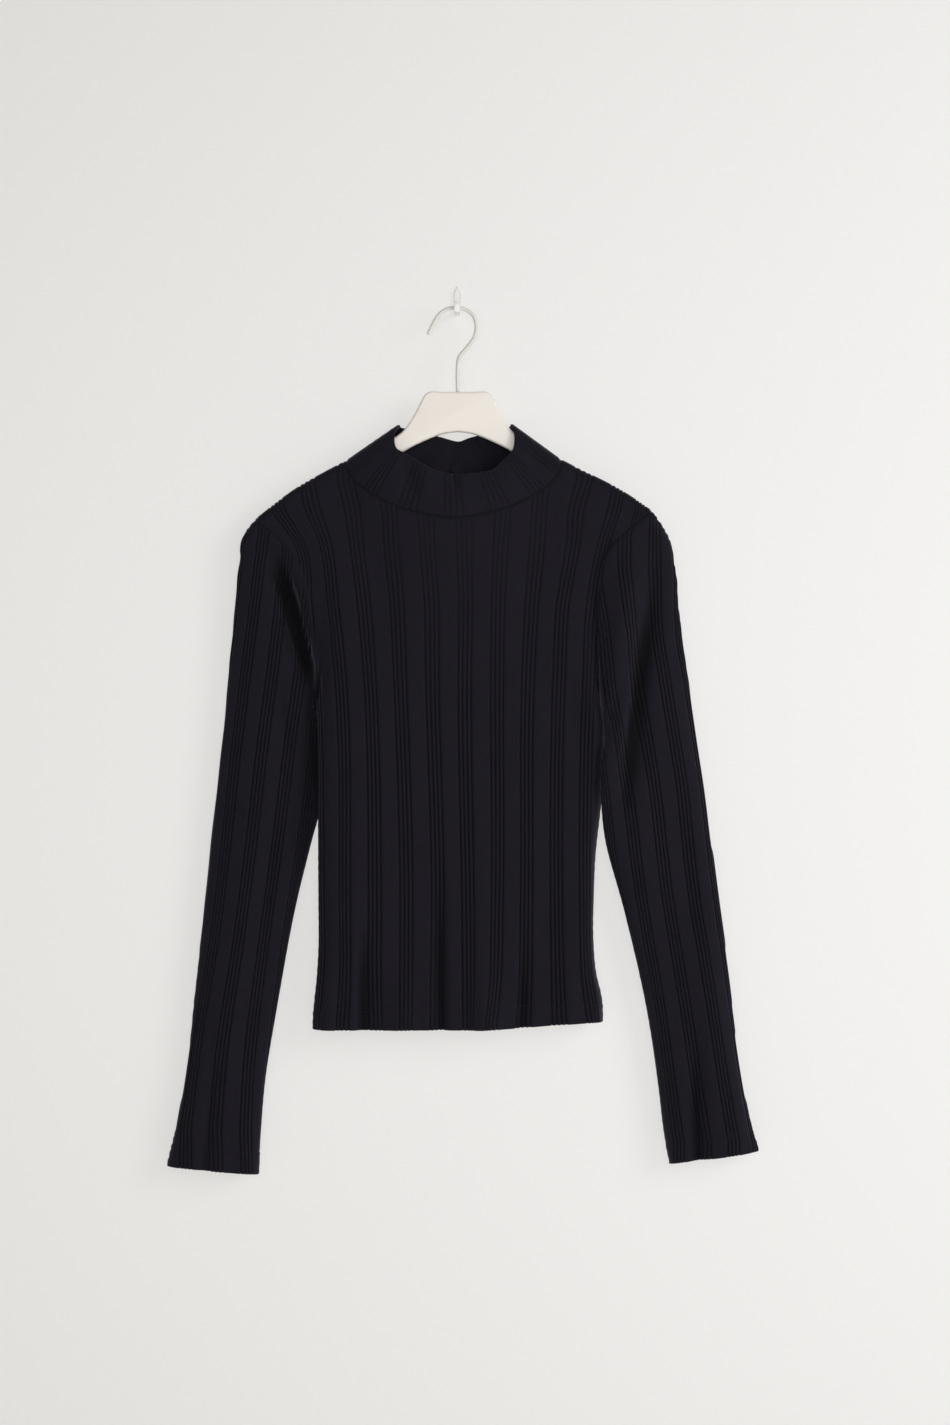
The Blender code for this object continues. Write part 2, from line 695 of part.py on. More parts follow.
def cut_out(garment, piece, wall):
    """One closed piece of cloth: its own faces of the garment, stepped back at the seams."""
    cloth = garment.copy()
    cloth.verts.ensure_lookup_table()
    inward = cloth.verts.layers.float_vector.new("inward")
    number = cloth.verts.layers.int.new("number")
    shifts = []
    for vert in garment.verts:
        shifts.append(seam_shift(vert, piece))
        cloth.verts[vert.index][inward] = vert.normal * -wall
        cloth.verts[vert.index][number] = vert.index
    for vert, shift in zip(cloth.verts, shifts):
        vert.co += shift
    others = [face for face in cloth.faces if face.material_index != piece]
    bmesh.ops.delete(cloth, geom=others, context="FACES")
    made = bmesh.ops.extrude_face_region(cloth, geom=cloth.faces[:])
    inner = {vert for vert in made["geom"] if isinstance(vert, bmesh.types.BMVert)}
    for vert in inner:
        vert.co += vert[inward]
    for face in cloth.faces[:]:
        split_edge_wall(face, inner, number)
        face.material_index = 0
    bmesh.ops.recalc_face_normals(cloth, faces=cloth.faces[:])
    return cloth


def material(name, colour):
    red, green, blue, roughness = colour
    made = bpy.data.materials.new(name)
    made.use_nodes = True
    made.diffuse_color = (red, green, blue, 1.0)
    shader = made.node_tree.nodes["Principled BSDF"]
    shader.inputs["Base Color"].default_value = (red, green, blue, 1.0)
    shader.inputs["Roughness"].default_value = roughness
    return made


def add_object(name, data, colour, collection):
    made = bpy.data.objects.new(name, data)
    data.materials.append(material(name + "_finish", colour))
    collection.objects.link(made)
    return made


def mesh_object(name, shape, colour, collection):
    """Turn a bmesh in millimetres into an object in metres."""
    bmesh.ops.scale(shape, vec=(MM, MM, MM), verts=shape.verts[:])
    data = bpy.data.meshes.new(name)
    shape.to_mesh(data)
    shape.free()
    return add_object(name, data, colour, collection)


def add_edge_round(piece, width, segments):
    bevel = piece.modifiers.new("Rounded edges", "BEVEL")
    bevel.width = width * MM
    bevel.segments = segments
    bevel.limit_method = "ANGLE"
    bevel.angle_limit = math.radians(50)


# ---- pieces -------------------------------------------------------------------------------

def build_garment(collection):
    """The whole top as one welded sheet first, so that both sides of a seam share its slope."""
    garment = bmesh.new()
    add_panel(garment, 0, 0)
    add_panel(garment, 1, 1)
    add_fold(garment, 1, "left")
    add_fold(garment, 1, "right")
    add_sleeve(garment, 2, "left")
    add_sleeve(garment, 3, "right")
    add_collar(garment, 4)
    bmesh.ops.remove_doubles(garment, verts=garment.verts[:], dist=0.01)
    bmesh.ops.recalc_face_normals(garment, faces=garment.faces[:])
    front = [face for face in garment.faces if face.material_index == 0]
    if sum(face.normal.y for face in front) > 0:
        bmesh.ops.reverse_faces(garment, faces=garment.faces[:])
    garment.normal_update()
    for armhole in ARMHOLES.values():
        underarm = Vector(armhole.at(0.0))
        nearest = min(garment.verts, key=lambda vert: (vert.co - underarm).length)
        nearest.normal = (0, 0, -1)
    garment.verts.index_update()
    garment.verts.ensure_lookup_table()
    names = ("front", "back", "sleeve_left", "sleeve_right", "collar")
    for piece, name in enumerate(names):
        wall = COLLAR_WALL if name == "collar" else KNIT_WALL
        cloth = cut_out(garment, piece, wall)
        mesh_object(name, cloth, KNIT_COLOUR, collection)
    garment.free()


def build_hanger(collection):
    """Flat hanger body, cut to an outline that is alike on both sides."""
    top = [(x, high) for x, high, _ in HANGER_OUTLINE]
    under = [(x, low) for x, _, low in HANGER_OUTLINE]
    half = top + under[::-1]
    outline = half[:-1] + [(-x, z) for x, z in half[::-1][:-1]]
    shape = bmesh.new()
    y = HANGER_Y + HANGER_HALF_THICKNESS
    corners = [shape.verts.new((HANGER_MIDDLE_X + x, y, z)) for x, z in outline]
    face = shape.faces.new(corners)
    made = bmesh.ops.extrude_face_region(shape, geom=[face])
    moved = [vert for vert in made["geom"] if isinstance(vert, bmesh.types.BMVert)]
    bmesh.ops.translate(shape, vec=(0, -2 * HANGER_HALF_THICKNESS, 0), verts=moved)
    bmesh.ops.recalc_face_normals(shape, faces=shape.faces[:])
    piece = mesh_object("hanger", shape, HANGER_COLOUR, collection)
    add_edge_round(piece, HANGER_EDGE_ROUND, 2)


def build_wire(collection):
    """Round wire hook: one bent wire from its tip down to the hanger's top."""
    route = smooth(WIRE_ROUTE, np.linspace(0, 1, WIRE_STEPS))
    data = bpy.data.curves.new("hanger_hook", "CURVE")
    data.dimensions = "3D"
    data.bevel_depth = WIRE_RADIUS * MM
    data.bevel_resolution = 2
    data.use_fill_caps = True
    spline = data.splines.new("POLY")
    spline.points.add(len(route) - 1)
    for point, (x, z) in zip(spline.points, route):
        point.co = (x * MM, HANGER_Y * MM, z * MM, 1.0)
    add_object("hanger_hook", data, WIRE_COLOUR, collection)


def build_wall_hook(collection):
    """Strip hook: its side view as one face, pulled to the strip's width, the top to a point."""
    under = SHELF_TOP - STRIP_THICKNESS
    side_view = (
        (0.0, STRIP_TIP),
        (0.0, STRIP_SHOULDER),
        (0.0, under),
        (SHELF_REACH, under),
        (SHELF_REACH, LIP_TOP),
        (SHELF_REACH + STRIP_THICKNESS, LIP_TOP),
        (SHELF_REACH + STRIP_THICKNESS, SHELF_TOP),
        (-STRIP_THICKNESS, SHELF_TOP),
        (-STRIP_THICKNESS, STRIP_SHOULDER),
        (-STRIP_THICKNESS, STRIP_TIP),
    )
    shape = bmesh.new()
    corners = [shape.verts.new((-STRIP_WIDTH / 2, y, z)) for y, z in side_view]
    face = shape.faces.new(corners)
    made = bmesh.ops.extrude_face_region(shape, geom=[face])
    moved = [vert for vert in made["geom"] if isinstance(vert, bmesh.types.BMVert)]
    bmesh.ops.translate(shape, vec=(STRIP_WIDTH, 0, 0), verts=moved)
    for vert in shape.verts:
        if vert.co.z > STRIP_SHOULDER + 1:
            vert.co.x *= STRIP_POINT_SHARE
    bmesh.ops.recalc_face_normals(shape, faces=shape.faces[:])
    mesh_object("wall_hook", shape, STRIP_COLOUR, collection)


def clear_scene():
    for item in list(bpy.data.objects):
        bpy.data.objects.remove(item, do_unlink=True)


def main():
    clear_scene()
    collection = bpy.data.collections.new("ribbed_mock_neck_top")
    bpy.context.scene.collection.children.link(collection)
    build_garment(collection)
    build_hanger(collection)
    build_wire(collection)
    build_wall_hook(collection)


main()
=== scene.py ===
"""Ribbed mock-neck top on a hanger, hung from a small wall hook, with a plain pale studio.

Sizes in the tables are millimetres in the frame of the solids: +Z up, the wall at Y = 0, the front
of the top towards -Y, left and right as seen from the front. Meshes are made in metres.
"""
import math

import bmesh
import bpy
import numpy as np
from bpy.props import FloatProperty, FloatVectorProperty, PointerProperty
from mathutils import Matrix, Vector, kdtree


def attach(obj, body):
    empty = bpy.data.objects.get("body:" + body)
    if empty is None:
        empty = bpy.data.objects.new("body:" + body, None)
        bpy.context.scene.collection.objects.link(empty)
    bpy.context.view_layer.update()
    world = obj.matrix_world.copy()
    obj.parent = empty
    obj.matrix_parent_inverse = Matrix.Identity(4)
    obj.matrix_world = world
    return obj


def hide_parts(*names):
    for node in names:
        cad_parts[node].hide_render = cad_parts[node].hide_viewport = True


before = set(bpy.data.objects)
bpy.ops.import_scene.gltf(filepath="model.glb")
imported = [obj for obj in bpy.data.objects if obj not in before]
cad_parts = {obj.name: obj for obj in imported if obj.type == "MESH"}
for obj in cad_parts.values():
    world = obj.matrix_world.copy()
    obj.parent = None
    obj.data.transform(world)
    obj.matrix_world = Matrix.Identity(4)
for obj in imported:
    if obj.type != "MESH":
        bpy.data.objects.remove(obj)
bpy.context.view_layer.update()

bl_info = {
    "name": "Ribbed Mock-Neck Top",
    "version": (1, 0, 0),
    "blender": (4, 5, 0),
    "location": "View3D > Sidebar > Knit Top",
    "description": "Ribbed mock-neck top on a hanger, its wall hook and a plain studio",
    "category": "Add Mesh",
}

MM = 0.001

# ---- form of the top: the same sections as its solids --------------------------------------

HANGER_Y = -24.0
FOLD_RADIUS = 8.0
SEAM_TURN = math.radians(65)
BASE_TURN = math.radians(-90)
NECK_LEFT_SHARE = 0.244
NECK_RIGHT_SHARE = 0.77

# Ridge of the shoulders: x, z
RIDGE_LEFT = (
    (-190.3, -205.0),
    (-177.3, -194.4),
    (-154.8, -177.6),
    (-121.1, -157.8),
    (-103.5, -148.4),
)
RIDGE_RIGHT = (
    (97.0, -147.4),
    (114.9, -157.0),
    (131.0, -164.8),
    (150.1, -174.6),
    (167.8, -185.6),
    (182.2, -195.6),
)

# Sections of the body below the armholes
#  height  left_x  left_y  right_x right_y front_l front_r back_l back_r
TORSO = (
    (-677.0, -134.5, -26.0, 136.0, -22.0, -44.0, -40.0, -9.0, -8.0),
    (-655.0, -133.5, -26.0, 135.0, -21.0, -44.0, -40.0, -9.0, -8.0),
    (-632.0, -131.0, -27.0, 130.0, -20.0, -44.5, -39.0, -10.0, -8.0),
    (-600.0, -129.3, -29.0, 127.4, -19.5, -45.0, -38.0, -11.0, -8.0),
    (-560.0, -129.3, -30.5, 127.6, -19.0, -46.0, -37.0, -12.0, -8.0),
    (-520.0, -129.5, -32.0, 129.5, -18.0, -47.0, -36.0, -13.0, -8.0),
    (-484.0, -129.5, -32.0, 133.5, -18.0, -47.0, -36.0, -13.0, -8.0),
    (-440.0, -129.2, -32.0, 137.5, -18.0, -47.0, -36.0, -13.0, -8.0),
    (-412.0, -129.6, -30.5, 138.5, -18.5, -46.5, -36.0, -12.5, -8.5),
    (-392.0, -130.4, -27.0, 137.0, -20.5, -45.5, -37.0, -12.0, -9.5),
    (-377.0, -131.0, -24.0, 133.0, -24.0, -44.0, -38.0, -12.0, -11.0),
)
HEM = -677.0
UNDERARM = -377.0
UNDERARM_RISE = 5.0
HEM_RISE = 6.5
HEM_RISE_FROM = 0.55
ROUND_LEFT = 20.0
ROUND_RIGHT = 13.0
ROUND_BACK = 14.0
CROWN = 2.5

# Soft upright flutes in the body: share of the width, depth, spread of the share, fade height
FLUTES = (
    (0.17, 1.8, 0.035, 160.0),
    (0.36, -1.6, 0.045, 120.0),
    (0.58, 2.0, 0.04, 190.0),
    (0.80, -1.8, 0.045, 150.0),
)

# Armhole seams from the underarm up to the ridge: share, x, z, front_y, back_y
ARMHOLE_LEFT = (
    (0.00, -131.0, -377.0, -24.0, -24.0),
    (0.08, -129.3, -364.0, -29.5, -18.5),
    (0.20, -128.4, -345.0, -33.0, -16.5),
    (0.45, -134.9, -297.0, -36.0, -15.5),
    (0.64, -141.9, -260.4, -36.5, -15.5),
    (0.78, -152.5, -237.0, -35.5, -15.5),
    (0.90, -167.5, -219.8, -33.5, -16.0),
)
ARMHOLE_RIGHT = (
    (0.00, 133.0, -372.0, -24.0, -24.0),
    (0.08, 131.5, -358.0, -29.5, -18.5),
    (0.20, 130.5, -340.0, -33.0, -16.5),
    (0.45, 130.6, -290.0, -36.0, -15.5),
    (0.63, 133.5, -256.0, -37.0, -15.5),
    (0.76, 140.5, -233.0, -36.5, -15.5),
    (0.88, 154.0, -218.0, -34.5, -16.0),
)
ARMHOLE_GRIP = 8.0
TIP_LEFT = (-185.3, -190.3, -181.5)
TIP_RIGHT = (178.8, 182.2, 175.6)

# Sections across the sleeves, shoulder to cuff
#  along  outer_x  outer_z  inner_x  inner_z  outer_y inner_y front back bow
SLEEVE_LEFT = (
    (0.06, -201.4, -236.5, -130.6, -390.0, -23.0, -18.5, 12.0, 10.0, 21.0),
    (0.15, -207.3, -285.0, -128.0, -411.0, -21.0, -14.0, 11.5, 9.0, 14.0),
    (0.25, -213.3, -345.0, -125.8, -438.0, -19.5, -11.5, 11.0, 8.0, 8.0),
    (0.36, -219.8, -412.0, -126.3, -468.0, -19.0, -11.5, 11.0, 8.0, 4.0),
    (0.47, -227.8, -485.0, -136.2, -506.0, -18.5, -13.0, 11.0, 8.5, 1.0),
    (0.59, -235.8, -560.0, -151.2, -568.0, -18.5, -15.0, 11.0, 8.5, 0.0),
    (0.74, -245.4, -651.0, -168.0, -660.0, -18.5, -17.0, 11.0, 9.0, 0.0),
    (0.86, -253.2, -722.0, -179.3, -731.0, -19.0, -18.0, 11.0, 9.5, 0.0),
    (0.94, -261.8, -771.0, -183.2, -780.0, -19.5, -18.5, 11.5, 10.0, 0.0),
    (1.00, -269.8, -805.4, -185.0, -813.2, -20.0, -19.0, 12.0, 10.5, 0.0),
)
SLEEVE_RIGHT = (
    (0.06, 201.0, -239.0, 134.8, -386.0, -24.0, -33.5, 12.0, 11.0, 22.0),
    (0.15, 206.8, -285.0, 136.2, -408.0, -23.0, -34.5, 11.5, 10.0, 14.0),
    (0.25, 214.2, -345.0, 133.2, -437.0, -22.0, -38.0, 11.0, 9.5, 8.0),
    (0.36, 223.5, -412.0, 133.4, -466.0, -21.0, -36.5, 11.0, 9.5, 4.0),
    (0.47, 232.9, -485.0, 138.2, -506.0, -20.5, -31.0, 11.0, 9.5, 1.0),
    (0.59, 242.7, -556.0, 155.3, -568.0, -20.0, -25.0, 11.0, 9.5, 0.0),
    (0.74, 255.0, -651.0, 176.6, -661.0, -20.0, -21.0, 11.0, 9.5, 0.0),
    (0.86, 263.9, -722.0, 187.4, -732.0, -20.0, -20.0, 11.0, 9.5, 0.0),
    (0.94, 273.0, -763.0, 192.8, -777.0, -20.0, -20.0, 11.5, 10.0, 0.0),
    (1.00, 280.9, -791.4, 198.0, -803.0, -20.0, -20.0, 12.0, 10.5, 0.0),
)
EDGE_SHAPE = 2.5
BOW_LEAN = 1.3
SLEEVE_ASPECT = 0.13
HEAD_PUFF = 4.5
HEAD_PUFF_END = 0.065
HEAD_PUFF_SPREAD = 0.14

# Large folds of the sleeves: troughs pressed into the front face
#  from_x  from_z   to_x    to_z   depth spread
SLEEVE_FOLDS = (
    (-171.0, -232.0, -152.0, -290.0, 6.0, 9.0),
    (-152.0, -290.0, -135.0, -345.0, 5.0, 8.0),
    (182.0, -245.0, 171.0, -310.0, 3.0, 11.0),
    (171.0, -310.0, 167.0, -430.0, 2.5, 12.0),
)

NECK_DROP_FRONT = 50.0
NECK_SHAPE = 1.7
NECK_FRONT_BULGE = 12.5
NECK_DROP_BACK = 10.0
NECK_BACK_HOLLOW = 6.5

# Folded top edge of the collar: share of the way from the left peak to the right one, x, y, z
COLLAR_TOP_FRONT = (
    (0.00, -57.0, -32.6, -118.5),
    (0.10, -58.5, -35.0, -127.5),
    (0.20, -56.0, -37.5, -138.0),
    (0.28, -47.0, -39.5, -143.0),
    (0.36, -33.0, -41.0, -152.0),
    (0.43, -20.0, -41.5, -158.5),
    (0.50, -5.0, -41.5, -161.8),
    (0.60, 17.0, -41.5, -161.2),
    (0.69, 34.0, -40.5, -157.0),
    (0.77, 45.0, -39.0, -147.0),
    (0.85, 52.0, -37.0, -138.5),
    (0.93, 53.5, -35.0, -127.5),
    (1.00, 52.5, -32.6, -118.0),
)
COLLAR_TOP_BACK = (
    (0.00, -54.0, -15.0, -116.5),
    (0.20, -36.0, -11.0, -121.0),
    (0.36, -16.0, -9.0, -125.3),
    (0.50, 1.0, -9.0, -129.5),
    (0.62, 12.0, -9.0, -126.0),
    (0.80, 32.0, -11.0, -121.0),
    (1.00, 50.0, -15.0, -116.0),
)
COLLAR_PEAK_LEFT = (-54.5, -24.0, -114.6)
COLLAR_PEAK_RIGHT = (51.0, -24.0, -114.2)
COLLAR_BULGE = 2.5
COLLAR_TURN_RADIUS = 1.3


def smooth(table, at):
    """Columns of a table at the given values of its first one, smoothly through its rows."""
    rows = np.array(table, dtype=float)
    knots = rows[:, 0]
    values = rows[:, 1:]
    slopes = np.gradient(values, knots, axis=0)
    at = np.clip(np.asarray(at, dtype=float), knots[0], knots[-1])
    low = np.clip(np.searchsorted(knots, at, side="right") - 1, 0, len(knots) - 2)
    span = (knots[low + 1] - knots[low])[..., None]
    t = ((at - knots[low]) / (knots[low + 1] - knots[low]))[..., None]
    start = (1 + 2 * t) * (1 - t) ** 2 * values[low] + t * (1 - t) ** 2 * span * slopes[low]
    end = t * t * (3 - 2 * t) * values[low + 1] - t * t * (1 - t) * span * slopes[low + 1]
    return start + end


def blend(low, high, share):
    return low + (high - low) * share


def fade(share):
    """Soft step from 0 to 1."""
    share = np.clip(share, 0.0, 1.0)
    return share * share * (3 - 2 * share)


def unit(vectors):
    return vectors / np.maximum(np.linalg.norm(vectors, axis=-1, keepdims=True), 1e-9)


def stack(*columns):
    return np.stack(np.broadcast_arrays(*columns), axis=-1).astype(float)


def running(points, axis):
    """Length run along an axis of a grid of points, from its start."""
    steps = np.linalg.norm(np.diff(points, axis=axis), axis=-1)
    start = np.zeros_like(np.take(steps, [0], axis=axis))
    return np.concatenate([start, np.cumsum(steps, axis=axis)], axis=axis)


def bell(distance, reach):
    """1 at no distance, falling off softly around the reach."""
    return np.exp(-((distance / reach) ** 2))


def at_lengths(lengths, run, values):
    """Values of a line at the given lengths, from those at its own."""
    return np.stack([np.interp(lengths, run, column) for column in values.T], axis=-1)


def spread(points, shares):
    """Points at the given shares of a line's length."""
    run = running(points, 0)
    return at_lengths(shares, run / run[-1], points)


def ridge(x):
    """Height of the shoulders' ridge."""
    x = np.asarray(x, dtype=float)
    return np.where(x < 0, smooth(RIDGE_LEFT, x)[..., 0], smooth(RIDGE_RIGHT, x)[..., 0])


def on_fold(x, turn):
    """A place on the fold: turn is 0 on the ridge and grows towards the front."""
    y = HANGER_Y - FOLD_RADIUS * np.sin(turn)
    z = ridge(x) - FOLD_RADIUS * (1 - np.cos(turn))
    return stack(x, y, z)


def tip_x(tips, turn):
    """Where the armhole crosses the fold."""
    at_seam, on_ridge, at_base = tips
    return np.interp(turn, (BASE_TURN, 0.0, SEAM_TURN), (at_base, on_ridge, at_seam))


def armhole_line(table, tips, face):
    """One side of an armhole from the underarm up to the fold; face is 0 in front, 1 behind."""
    turn = BASE_TURN if face else SEAM_TURN
    end = on_fold(tip_x(tips, turn), turn)
    rows = [(share, x, (front_y, back_y)[face], z) for share, x, z, front_y, back_y in table]
    rows.append((1.0, end[0], end[1], end[2]))
    return smooth(rows, np.linspace(0.0, 1.0, 120))


class Armhole:
    """The closed seam between the body and a sleeve, followed by the share of its length."""

    def __init__(self, table, tips):
        turns = np.linspace(SEAM_TURN, BASE_TURN, 30)
        front = armhole_line(table, tips, 0)
        top = on_fold(tip_x(tips, turns), turns)
        back = armhole_line(table, tips, 1)[::-1]
        self.line = np.concatenate([front, top[1:], back[1:]])
        run = running(self.line, 0)
        run = run / run[-1]
        self.seam = run[len(front) - 1]
        self.base = run[len(front) + len(top) - 2]

    def at(self, share):
        return spread(self.line, share)


ARMHOLES = {
    "left": Armhole(ARMHOLE_LEFT, TIP_LEFT),
    "right": Armhole(ARMHOLE_RIGHT, TIP_RIGHT),
}
NECK_LEFT_X = RIDGE_LEFT[-1][0]
NECK_RIGHT_X = RIDGE_RIGHT[0][0]
NECK_MIDDLE = (NECK_LEFT_X + NECK_RIGHT_X) / 2
NECK_HALF = (NECK_RIGHT_X - NECK_LEFT_X) / 2


def neck_front(share):
    """Front neck seam from the left shoulder seam to the right one."""
    across = -np.cos(np.pi * share)
    drop = (1 - np.abs(across) ** NECK_SHAPE).clip(0) ** (1 / NECK_SHAPE)
    start = on_fold(NECK_LEFT_X, SEAM_TURN)
    end = on_fold(NECK_RIGHT_X, SEAM_TURN)
    y = blend(start[1], end[1], share) - NECK_FRONT_BULGE * np.sin(np.pi * share) ** 2
    z = blend(start[2], end[2], share) - NECK_DROP_FRONT * drop
    return stack(NECK_MIDDLE + NECK_HALF * across, y, z)


def neck_back(share):
    """Back neck seam from the left shoulder to the right one."""
    start = on_fold(NECK_LEFT_X, BASE_TURN)
    end = on_fold(NECK_RIGHT_X, BASE_TURN)
    arch = np.sin(np.pi * share)
    y = blend(start[1], end[1], share) + NECK_BACK_HOLLOW * arch
    z = blend(start[2], end[2], share) - NECK_DROP_BACK * arch
    return stack(NECK_MIDDLE - NECK_HALF * np.cos(np.pi * share), y, z)


def rounded(distance, reach):
    """Quarter round that rises from 0 at an edge to 1 at reach."""
    return np.sqrt(1 - (1 - np.clip(distance / reach, 0, 1)) ** 2)


def body_section(height, face, shares):
    """Points across the body at a height, evenly by arc; face is 0 in front, 1 behind."""
    left_x, left_y, right_x, right_y, *faces = smooth(TORSO, height)
    across = (1 - np.cos(np.pi * np.linspace(0, 1, 241))) / 2
    x = blend(left_x, right_x, across)
    edge_y = blend(left_y, right_y, across)
    face_y = blend(faces[2 * face], faces[2 * face + 1], across)
    lift = rounded(x - left_x, ROUND_BACK if face else ROUND_LEFT)
    lift = lift * rounded(right_x - x, ROUND_BACK if face else ROUND_RIGHT)
    crown = CROWN * 4 * across * (1 - across) * (1 - 2 * face)
    y = edge_y + (face_y - edge_y) * lift - crown * lift
    above = (height - HEM) / (UNDERARM - HEM)
    at_right = fade((across - HEM_RISE_FROM) / (1 - HEM_RISE_FROM))
    rise = UNDERARM_RISE * across * fade(above) + HEM_RISE * at_right * fade(1 - above * 2)
    points = spread(stack(x, y, height + rise), shares)
    points[:, 1] -= flute(shares, height) * (1.0 if face == 0 else -0.6)
    return points


def flute(share, height):
    """How far the soft upright flutes push the cloth forward."""
    depth = 0.0
    for middle, strength, width, reach in FLUTES:
        depth = depth + strength * bell(share - middle, width) * bell(height - HEM, reach)
    return depth


def fold_points(shares, turn):
    """Places on the folds over the shoulders, by share of the panel's width."""
    left = blend(tip_x(TIP_LEFT, turn), NECK_LEFT_X, shares / NECK_LEFT_SHARE)
    along = (shares - NECK_RIGHT_SHARE) / (1 - NECK_RIGHT_SHARE)
    right = blend(NECK_RIGHT_X, tip_x(TIP_RIGHT, turn), along)
    return on_fold(np.where(shares < 0.5, left, right), turn)


def upper_edge(shares, face):
    """Top edge of a panel: the shoulder seams and the neck in front, the fold's base behind."""
    shoulder = fold_points(shares, BASE_TURN if face else SEAM_TURN)
    along = (shares - NECK_LEFT_SHARE) / (NECK_RIGHT_SHARE - NECK_LEFT_SHARE)
    neck = (neck_back if face else neck_front)(np.clip(along, 0, 1))
    in_neck = (shares > NECK_LEFT_SHARE) & (shares < NECK_RIGHT_SHARE)
    return np.where(in_neck[:, None], neck, shoulder)


def upper_body(ups, face, shares):
    """Rows of a panel above the underarm, inside its four edges."""
    ups = np.asarray(ups, dtype=float)
    sides = []
    for side in ("left", "right"):
        armhole = ARMHOLES[side]
        run = blend(1.0, armhole.base, ups) if face else blend(0.0, armhole.seam, ups)
        sides.append(armhole.at(run)[:, None, :])
    left, right = sides
    low = body_section(UNDERARM, face, shares)[None]
    high = upper_edge(shares, face)[None]
    up = ups[:, None, None]
    share = shares[None, :, None]
    nearness = 1 + ARMHOLE_GRIP * up ** 3
    left_bow = left - blend(ARMHOLES["left"].at(0.0), high[:, :1], up)
    right_bow = right - blend(ARMHOLES["right"].at(0.0), high[:, -1:], up)
    points = blend(low, high, up)
    width = ARMHOLES["right"].at(0.0)[0] - ARMHOLES["left"].at(0.0)[0]
    left_round = 1 - rounded(share * width, ROUND_BACK if face else ROUND_LEFT)
    right_round = 1 - rounded((1 - share) * width, ROUND_BACK if face else ROUND_RIGHT)
    depth = points[..., 1:2] + left_bow[..., 1:2] * left_round + right_bow[..., 1:2] * right_round
    points = points + left_bow * (1 - share) ** nearness + right_bow * share ** nearness
    points[..., 1:2] = depth
    return points


EDGE_TURNS = np.linspace(0, np.pi, 181)
EDGE_ACROSS = (1 - np.sign(np.cos(EDGE_TURNS)) * np.abs(np.cos(EDGE_TURNS)) ** (2 / EDGE_SHAPE)) / 2
EDGE_OUT = np.sin(EDGE_TURNS).clip(0) ** (2 / EDGE_SHAPE)


def flat_tube(shares):
    """Across and outward places around half of a flattened tube, evenly by arc."""
    points = spread(stack(EDGE_ACROSS, EDGE_OUT * SLEEVE_ASPECT), shares)
    return points[:, 0], points[:, 1] / SLEEVE_ASPECT


def sleeve_section(row, shares):
    """A section of a sleeve; shares run from the inner edge over the front and round behind."""
    _, outer_x, outer_z, inner_x, inner_z, outer_y, inner_y, front, back, bow = row
    behind = shares > 0.5
    across, out = flat_tube(np.where(behind, 2 * (1 - shares), 2 * shares))
    length = math.hypot(outer_x - inner_x, outer_z - inner_z)
    lean_x = (inner_z - outer_z) / length
    lean_z = (outer_x - inner_x) / length
    curve = bow * math.copysign(1.0, lean_z) * np.sin(np.pi * across ** BOW_LEAN)
    x = blend(inner_x, outer_x, across) + curve * lean_x
    z = blend(inner_z, outer_z, across) + curve * lean_z
    y = blend(inner_y, outer_y, across) + np.where(behind, back, -front) * out
    return stack(x, y, z)


def press(points, table):
    """How far the troughs of a table press in at points; each runs from one x and z to another."""
    x, z = points[..., 0], points[..., 2]
    depth = np.zeros_like(x)
    for from_x, from_z, to_x, to_z, strength, width in table:
        run_x, run_z = to_x - from_x, to_z - from_z
        share = ((x - from_x) * run_x + (z - from_z) * run_z) / (run_x ** 2 + run_z ** 2)
        share = np.clip(share, 0, 1)
        away = np.hypot(x - from_x - share * run_x, z - from_z - share * run_z)
        depth = np.maximum(depth, strength * bell(away, width))
    return depth


def sleeve_rows(side, shares, rows):
    """The sleeve's surface as rows of points from the armhole to the cuff."""
    table = SLEEVE_LEFT if side == "left" else SLEEVE_RIGHT
    sections = [ARMHOLES[side].at(shares)] + [sleeve_section(row, shares) for row in table]
    along = [0.0] + [row[0] for row in table]
    flat = np.array(sections).reshape(len(along), -1)
    points = smooth(np.column_stack([along, flat]), rows).reshape(len(rows), len(shares), 3)
    in_front = np.sin(2 * np.pi * shares).clip(0) ** 0.5 * fade(np.asarray(rows) / 0.05)[:, None]
    points[:, :, 1] += press(points, SLEEVE_FOLDS) * in_front
    puff = np.sin(np.pi * np.clip(np.asarray(rows) / HEAD_PUFF_END, 0, 1))[:, None]
    puff = puff * HEAD_PUFF * bell(shares - 0.5, HEAD_PUFF_SPREAD)
    points[:, :, 0] += puff * (-1.0 if side == "left" else 1.0)
    return points


def collar_edge(part, share, top):
    """Neck seam or folded top edge along one part of the collar."""
    if part in ("front", "back"):
        if top:
            return smooth(COLLAR_TOP_FRONT if part == "front" else COLLAR_TOP_BACK, share)
        return (neck_front if part == "front" else neck_back)(share)
    if not top:
        x = NECK_LEFT_X if part == "left" else NECK_RIGHT_X
        return on_fold(np.full_like(share, x), blend(SEAM_TURN, BASE_TURN, share))
    end = 0.0 if part == "left" else 1.0
    front, back = smooth(COLLAR_TOP_FRONT, end), smooth(COLLAR_TOP_BACK, end)
    peak = np.array(COLLAR_PEAK_LEFT if part == "left" else COLLAR_PEAK_RIGHT)
    through = 2 * peak - (front + back) / 2
    share = share[:, None]
    return (1 - share) ** 2 * front + 2 * share * (1 - share) * through + share ** 2 * back


